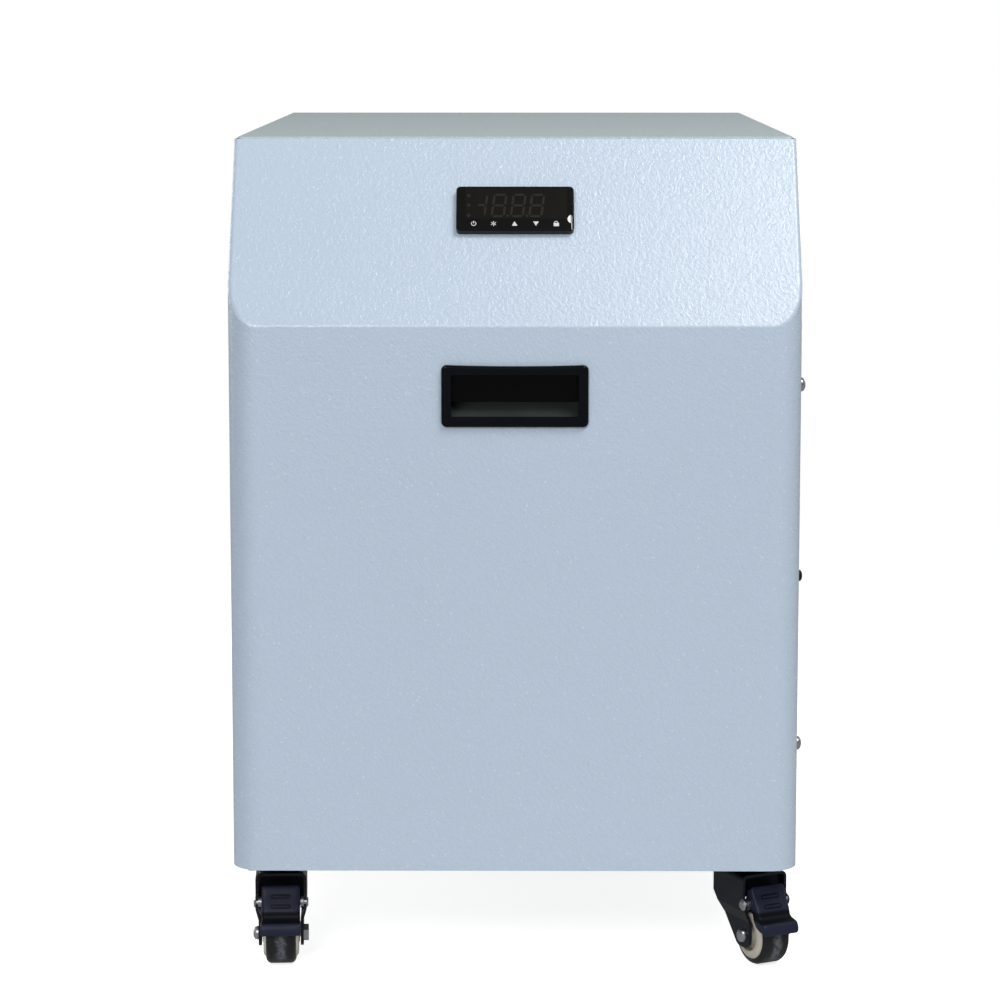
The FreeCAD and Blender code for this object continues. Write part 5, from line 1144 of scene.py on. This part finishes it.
class ChillerPedals(bpy.types.Operator):
    """Moulded brake pedals: ribbed tread plate with painted shade round its ribs, a hollow painted dark as shade, and
    a broad rounded lip
    """

    bl_idname = "chiller.pedals"
    bl_label = "Brake pedals"

    front_path = ((2.2, 12.2), (3.6, 11.4), (6.6, 6.4), (9.8, 1.4), (12.2, -2.4), (12.9, -4.2), (13.2, -5.8),
                  (14.3, -7.4), (16.8, -8.5), (19.8, -9.2), (21.6, -10.6), (22.7, -13.2), (22.9, -15.6),
                  (21.9, -17.3))
    half_widths = (11.9, 12.7, 13.0, 13.0, 13.0, 13.0, 13.0, 13.2, 13.6, 13.7, 13.7, 13.7, 13.6, 13.2)
    edge_rounds = (0.7, 1.0, 1.7, 2.4, 2.6, 2.4, 2.2, 1.9, 1.6, 1.5, 1.5, 1.5, 1.4, 1.2)
    wall_depths = (1.6, 2.6, 4.6, 6.2, 6.8, 6.8, 6.8, 6.6, 6.2, 6.4, 6.6, 6.2, 5.0, 3.4)
    ear = ((2.0, 10.6), (11.0, -3.1), (9.5, -6.6), (4.5, -4.8), (0.0, -4.5), (-3.0, -3.4), (-4.4, 0.0),
           (-3.4, 3.2), (-1.0, 9.8))
    ear_faces = (11.4, 12.9)
    skin = 0.9
    rib_drops = (-5.8, 0.2)
    rib_length = 12.4
    rib_r = 1.0
    rib_sink = 0.3
    # Size and lift of the near-black sheets of painted shade round the ribs.
    groove_shade_r = 1.65
    groove_shade_lift = 0.06

    def execute(self, context):
        user = settings()
        for name in BRAKED:
            place = pedal_place(joints[name + "_pedal_lift"])
            finish = pedal_finish(name + "_pedal_moulding", tuple(user.pedal_colour), place.translation)
            parts = [self.plate(place), *self.ears(place), *self.ribs(place)]
            # Near-black sheets round the ribs: painted shade where the raised ribs meet the plate.
            groove_shades = mesh_from(name + "_pedal_grooves", self.groove_shades(place))
            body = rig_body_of(name + "_brake_pedal")
            dark = pedal_finish(name + "_groove_black", srgb(4, 4, 6), place.translation)
            new_piece(name + "_pedal_grooves", groove_shades, dark, body, "pedal_black")
            piece = new_piece(name + "_pedal", mesh_from(name + "_pedal", parts, 38.0), finish, body,
                              "pedal_black")
            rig.replaces(piece, name + "_brake_pedal")
        return {"FINISHED"}

    def smoothed(self, values):
        """Points of a smooth curve through the given ones."""
        steps = 4
        made = []
        last = len(values) - 1
        for i in range(last):
            a, b, c, d = (Vector(values[k]) for k in (max(i - 1, 0), i, i + 1, min(i + 2, last)))
            for j in range(steps):
                t = j / steps
                made.append(((2 * b) + (c - a) * t + (2 * a - 5 * b + 4 * c - d) * t ** 2
                             + (3 * b - a - 3 * c + d) * t ** 3) / 2)
        made.append(Vector(values[last]))
        return made

    def section(self, half_w, edge_r, depth):
        """Half of the plate's section as (across, inward) points, from the middle round and back."""
        points = [(0, 0), ((half_w - edge_r) * 0.8, 0), (half_w - edge_r, 0)]
        for i in range(1, 6):
            angle = math.radians(18 * i)
            points.append((half_w - edge_r + edge_r * math.sin(angle), edge_r * (1 - math.cos(angle))))
        foot = max(depth, edge_r + 0.4)
        points += [(half_w, (edge_r + foot) / 2), (half_w, foot)]
        inner = half_w - self.skin - 0.5
        points += [(inner, foot), (inner, edge_r + 0.3), (inner - edge_r * 0.6, self.skin), (0, self.skin)]
        return points

    def plate(self, place):
        """The tread plate, its hollow and its lip, as one shell with folded sides."""
        rows = zip(self.front_path, self.half_widths, self.edge_rounds)
        path = self.smoothed([(v, z, half, edge) for (v, z), half, edge in rows])
        depths = self.smoothed([(depth, 0, 0, 0) for depth in self.wall_depths])
        mesh = bmesh.new()
        rings = []
        for i, row in enumerate(path):
            before, after = path[max(i - 1, 0)], path[min(i + 1, len(path) - 1)]
            along = Vector((after[0] - before[0], after[1] - before[1])).normalized()
            inward = Vector((along.y, -along.x))
            half = self.section(row[2], row[3], depths[i][0])
            spots = []
            for side, points in ((1, half), (-1, half[-2:0:-1])):
                for across, deep in points:
                    spots.append((side * across, row[0] + inward.x * deep, row[1] + inward.y * deep))
            rings.append(verts_at(mesh, place, spots))
        tube(mesh, rings)
        mesh.faces.new(rings[0])
        mesh.faces.new(list(reversed(rings[-1])))
        return mesh

    def ears(self, place):
        """Two flat cheeks that hang on the rivets."""
        made = []
        for side in (-1, 1):
            mesh = bmesh.new()
            faces = [verts_at(mesh, place, [(side * x, v, z) for v, z in self.ear]) for x in self.ear_faces]
            tube(mesh, faces)
            for face in faces:
                mesh.faces.new(face)
            made.append(mesh)
        return made

    def rib_spots(self):
        """The middle of each rib on the plate, the way down the plate, and the way out of it."""
        top, knee = Vector(self.front_path[1]), Vector(self.front_path[4])
        along = (knee - top).normalized()
        outward = Vector((-along.y, along.x))
        return [(top + (knee - top) * ((top.y + drop) / (top.y - knee.y)), along, outward)
                for drop in self.rib_drops]

    def groove_shades(self, place):
        """Flat near-black pill-shaped sheets round the ribs: painted shade where the raised ribs meet the plate."""
        straight = self.rib_length / 2 - self.rib_r
        made = []
        for spot, along, outward in self.rib_spots():
            mesh = bmesh.new()
            corners = []
            for i in range(24):
                angle = math.radians(15 * i + 7.5)
                shift = straight if math.cos(angle) > 0 else -straight
                down = spot + along * self.groove_shade_r * math.sin(angle) + outward * self.groove_shade_lift
                corners.append((shift + self.groove_shade_r * math.cos(angle), *down))
            mesh.faces.new(verts_at(mesh, place, corners))
            made.append(mesh)
        return made

    def ribs(self, place):
        """Two rounded grip ribs across the plate."""
        straight = self.rib_length / 2 - self.rib_r
        made = []
        for middle, along, outward in self.rib_spots():
            spot = middle - outward * self.rib_sink
            profile = []
            for i in range(13):
                angle = math.radians(-90 + 15 * i)
                shift = straight if i > 6 else -straight
                profile.append((shift + self.rib_r * math.sin(angle), self.rib_r * math.cos(angle)))
            profile[0] = (profile[0][0], 0)
            profile[-1] = (profile[-1][0], 0)
            seat = Matrix.Translation(Vector((0, spot.x, spot.y)))
            made.append(lathe(place @ seat @ Matrix.Rotation(math.pi / 2, 4, "Y"), profile, 16))
        return made


class ChillerAir(bpy.types.Operator):
    """Fan, guard and condenser"""

    bl_idname = "chiller.air"
    bl_label = "Fan and condenser"

    def execute(self, context):
        dress("fan_grille", painted_steel_finish("guard_black", srgb(26, 27, 29), 0.4), 0.0003)
        dress("fan_rotor", moulded_finish("fan_black", srgb(24, 25, 27), 0.4), 0.0004)
        dress("fan_motor", painted_steel_finish("motor_black", srgb(34, 35, 38), 0.42), 0.0004)
        dress("condenser_fins", fin_finish("fin_aluminium", srgb(196, 200, 204)))
        return {"FINISHED"}


class ChillerCircuit(bpy.types.Operator):
    """Compressor, exchanger and copper pipes"""

    bl_idname = "chiller.circuit"
    bl_label = "Cooling circuit"

    def execute(self, context):
        copper = copper_finish("drawn_copper", srgb(196, 124, 88))
        for node in ("condenser_tube", "discharge_tube", "liquid_tube", "capillary", "suction_tube",
                     "filter_drier"):
            dress(node, copper)
        dress("compressor", painted_steel_finish("compressor_black", srgb(24, 24, 26), 0.3), 0.0006)
        dress("compressor_feet", rubber_finish("foot_rubber", srgb(28, 28, 28)), 0.0006)
        dress("terminal_cover", moulded_finish("terminal_black", srgb(26, 26, 28)), 0.0004)
        dress("plate_exchanger", stainless_finish("plate_stainless", srgb(190, 192, 194)), 0.0005)
        dress("evaporator_jacket", foam_finish("jacket_foam", srgb(40, 41, 44)), 0.001)
        return {"FINISHED"}


class ChillerWater(bpy.types.Operator):
    """Ports, hoses and pump"""

    bl_idname = "chiller.water"
    bl_label = "Water circuit"

    def execute(self, context):
        port = moulded_finish("port_black", srgb(32, 33, 35), 0.4)
        dress("water_ports", port, 0.0006)
        dress("port_nuts", port, 0.0006)
        hose = rubber_finish("hose_black", srgb(26, 27, 28), 0.6)
        for node in ("inlet_hose", "feed_hose", "outlet_hose"):
            dress(node, hose)
        dress("pump_head", moulded_finish("pump_plastic", srgb(36, 38, 42), 0.42), 0.0008)
        dress("pump_motor", painted_steel_finish("pump_grey", srgb(96, 104, 112), 0.45), 0.0006)
        return {"FINISHED"}


class ChillerElectrics(bpy.types.Operator):
    """Relay box and power inlet"""

    bl_idname = "chiller.electrics"
    bl_label = "Electrics"

    def execute(self, context):
        dress("control_box", moulded_finish("box_grey", srgb(150, 153, 156), 0.5), 0.0006)
        dress("power_inlet", moulded_finish("inlet_black", srgb(24, 24, 26), 0.42), 0.0004)
        dress("inlet_pins", zinc_plate_finish("inlet_pin_plating", srgb(206, 204, 196), 0.24), 0.0002)
        return {"FINISHED"}


class ChillerStage(bpy.types.Operator):
    """Pale floor, soft lamps and the camera"""

    bl_idname = "chiller.stage"
    bl_label = "Stage"

    def execute(self, context):
        scene = context.scene
        user = scene.chiller_stage
        scene.view_settings.view_transform = "Standard"
        self.floor()
        self.room(user.room_light)
        self.lamp("front_lamp", (-0.9, -3.1, 1.95), (0, 0, 0.3), 1.2, 1.0, user.front_power)
        self.lamp("upper_lamp", (0.85, -1.15, 2.1), (0.05, -0.25, 0.45), 1.0, 0.8, user.top_power,
                  (1.0, 0.98, 0.93))
        self.lamp("left_lamp", (-2.4, 1.5, 0.8), (0, 0.1, 0.3), 1.2, 0.9, user.side_power)
        self.lamp("right_lamp", (2.4, 1.9, 0.8), (0, 0.1, 0.3), 1.2, 0.9, user.side_power * 0.15)
        self.lamp("rear_lamp", (0.2, 3.2, 0.3), (0, 0, 0.32), 2.0, 0.4, user.front_power * 0.7)
        self.camera(user)
        return {"FINISHED"}

    def floor(self):
        """A wide plain floor that keeps the object's shadow and fades out round it."""
        mesh = bmesh.new()
        bmesh.ops.create_grid(mesh, x_segments=1, y_segments=1, size=9.0)
        floor = new_object("floor", mesh_data("floor", mesh))
        finish = Finish("floor_white", roughness=0.9, specular_ior_level=0.0)
        grain = finish.noise(4.0, 2.0)
        finish.feed(base_color=finish.blend(grain, (0.86, 0.86, 0.86, 1.0), (0.88, 0.88, 0.88, 1.0)))
        path = finish.node("ShaderNodeLightPath")
        seen = Wire(finish, path.outputs["Is Camera Ray"])
        glossy = Wire(finish, path.outputs["Is Glossy Ray"])
        through = Wire(finish, path.outputs["Is Transmission Ray"])
        lift = finish.wire("ShaderNodeEmission", 0, {}, {"Strength": (seen + through) * 0.78})
        plain = Wire(finish, finish.shader.outputs[0])
        added = finish.wire("ShaderNodeAddShader", 0, {}, {0: plain, 1: lift})
        clear = finish.wire("ShaderNodeBsdfTransparent", 0)
        fade = finish.away((0, 0, 0)).rise(0.7, 1.6).over(glossy * 0.8)
        edge = finish.wire("ShaderNodeMixShader", 0, {}, {0: fade, 1: added, 2: clear})
        finish.put(finish.tree.nodes["Material Output"].inputs["Surface"], edge)
        floor.data.materials.append(finish.material)
        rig.stage(floor)

    def room(self, level):
        """Even room light, white where the camera sees it, also through what is clear."""
        world = bpy.data.worlds.new("room")
        world.use_nodes = True
        bpy.context.scene.world = world
        net = Net(world.node_tree)
        background = net.tree.nodes["Background"]
        net.put(background.inputs["Color"], (1.0, 1.0, 1.0, 1.0))
        path = net.node("ShaderNodeLightPath")
        through = Wire(net, path.outputs["Is Transmission Ray"])
        seen = Wire(net, path.outputs["Is Camera Ray"]).over(through)
        sockets = {"Value": seen, "To Min": level, "To Max": 1.0}
        net.put(background.inputs["Strength"], net.wire("ShaderNodeMapRange", "Result", {}, sockets))

    def lamp(self, name, place, target, width, height, power, tint=(1.0, 1.0, 1.0)):
        """A soft box that points at a target."""
        light = bpy.data.lights.new(name, "AREA")
        light.shape = "RECTANGLE"
        light.size = width
        light.size_y = height
        light.energy = power
        light.color = tint
        lamp = new_object(name, light)
        lamp.location = place
        lamp.rotation_euler = (Vector(target) - Vector(place)).to_track_quat("-Z", "Y").to_euler()

    def camera(self, user):
        """The camera of the photograph."""
        data = bpy.data.cameras.new("camera")
        data.lens = user.lens
        data.shift_y = user.shift
        data.clip_end = 50.0
        camera = new_object("camera", data)
        pitch, yaw = math.radians(user.pitch_deg), math.radians(user.yaw_deg)
        look = Vector((-math.sin(yaw) * math.cos(pitch), math.cos(yaw) * math.cos(pitch), -math.sin(pitch)))
        camera.location = user.camera_place
        camera.rotation_euler = look.to_track_quat("-Z", "Y").to_euler()
        bpy.context.scene.camera = camera


OPERATORS = (ChillerCabinet, ChillerController, ChillerHandle, ChillerScrews, ChillerCasters,
             ChillerForkWalls, ChillerPedals, ChillerAir, ChillerCircuit, ChillerWater, ChillerElectrics,
             ChillerStage)


class ChillerPanel(bpy.types.Panel):
    """Lists the chiller's settings and operators in the sidebar"""

    bl_idname = "VIEW3D_PT_chiller"
    bl_label = "Ice bath chiller"
    bl_space_type = "VIEW_3D"
    bl_region_type = "UI"
    bl_category = "Chiller"

    def draw(self, context):
        layout = self.layout
        for group in (context.scene.chiller, context.scene.chiller_stage):
            for key in group.bl_rna.properties.keys():
                if key not in ("rna_type", "name"):
                    layout.prop(group, key)
        for operator in OPERATORS:
            layout.operator(operator.bl_idname)


CLASSES = (ChillerSettings, StageSettings, *OPERATORS, ChillerPanel)


def register():
    """Adds the classes and the scene's settings."""
    for item in CLASSES:
        bpy.utils.register_class(item)
    bpy.types.Scene.chiller = PointerProperty(type=ChillerSettings)
    bpy.types.Scene.chiller_stage = PointerProperty(type=StageSettings)


def unregister():
    """Takes them away again."""
    del bpy.types.Scene.chiller_stage
    del bpy.types.Scene.chiller
    for item in reversed(CLASSES):
        bpy.utils.unregister_class(item)


def main():
    """Builds the whole scene and notes the sizes before and after."""
    register()
    for operator in OPERATORS:
        group, name = operator.bl_idname.split(".")
        getattr(getattr(bpy.ops, group), name)()
    low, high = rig.bounds()
    sizes = {"cad": [list(cad_box[0]), list(cad_box[1])], "visual": [list(low), list(high)]}
    with open("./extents.json", "w") as file:
        json.dump(sizes, file, indent=1)


if __name__ == "__main__":
    main()
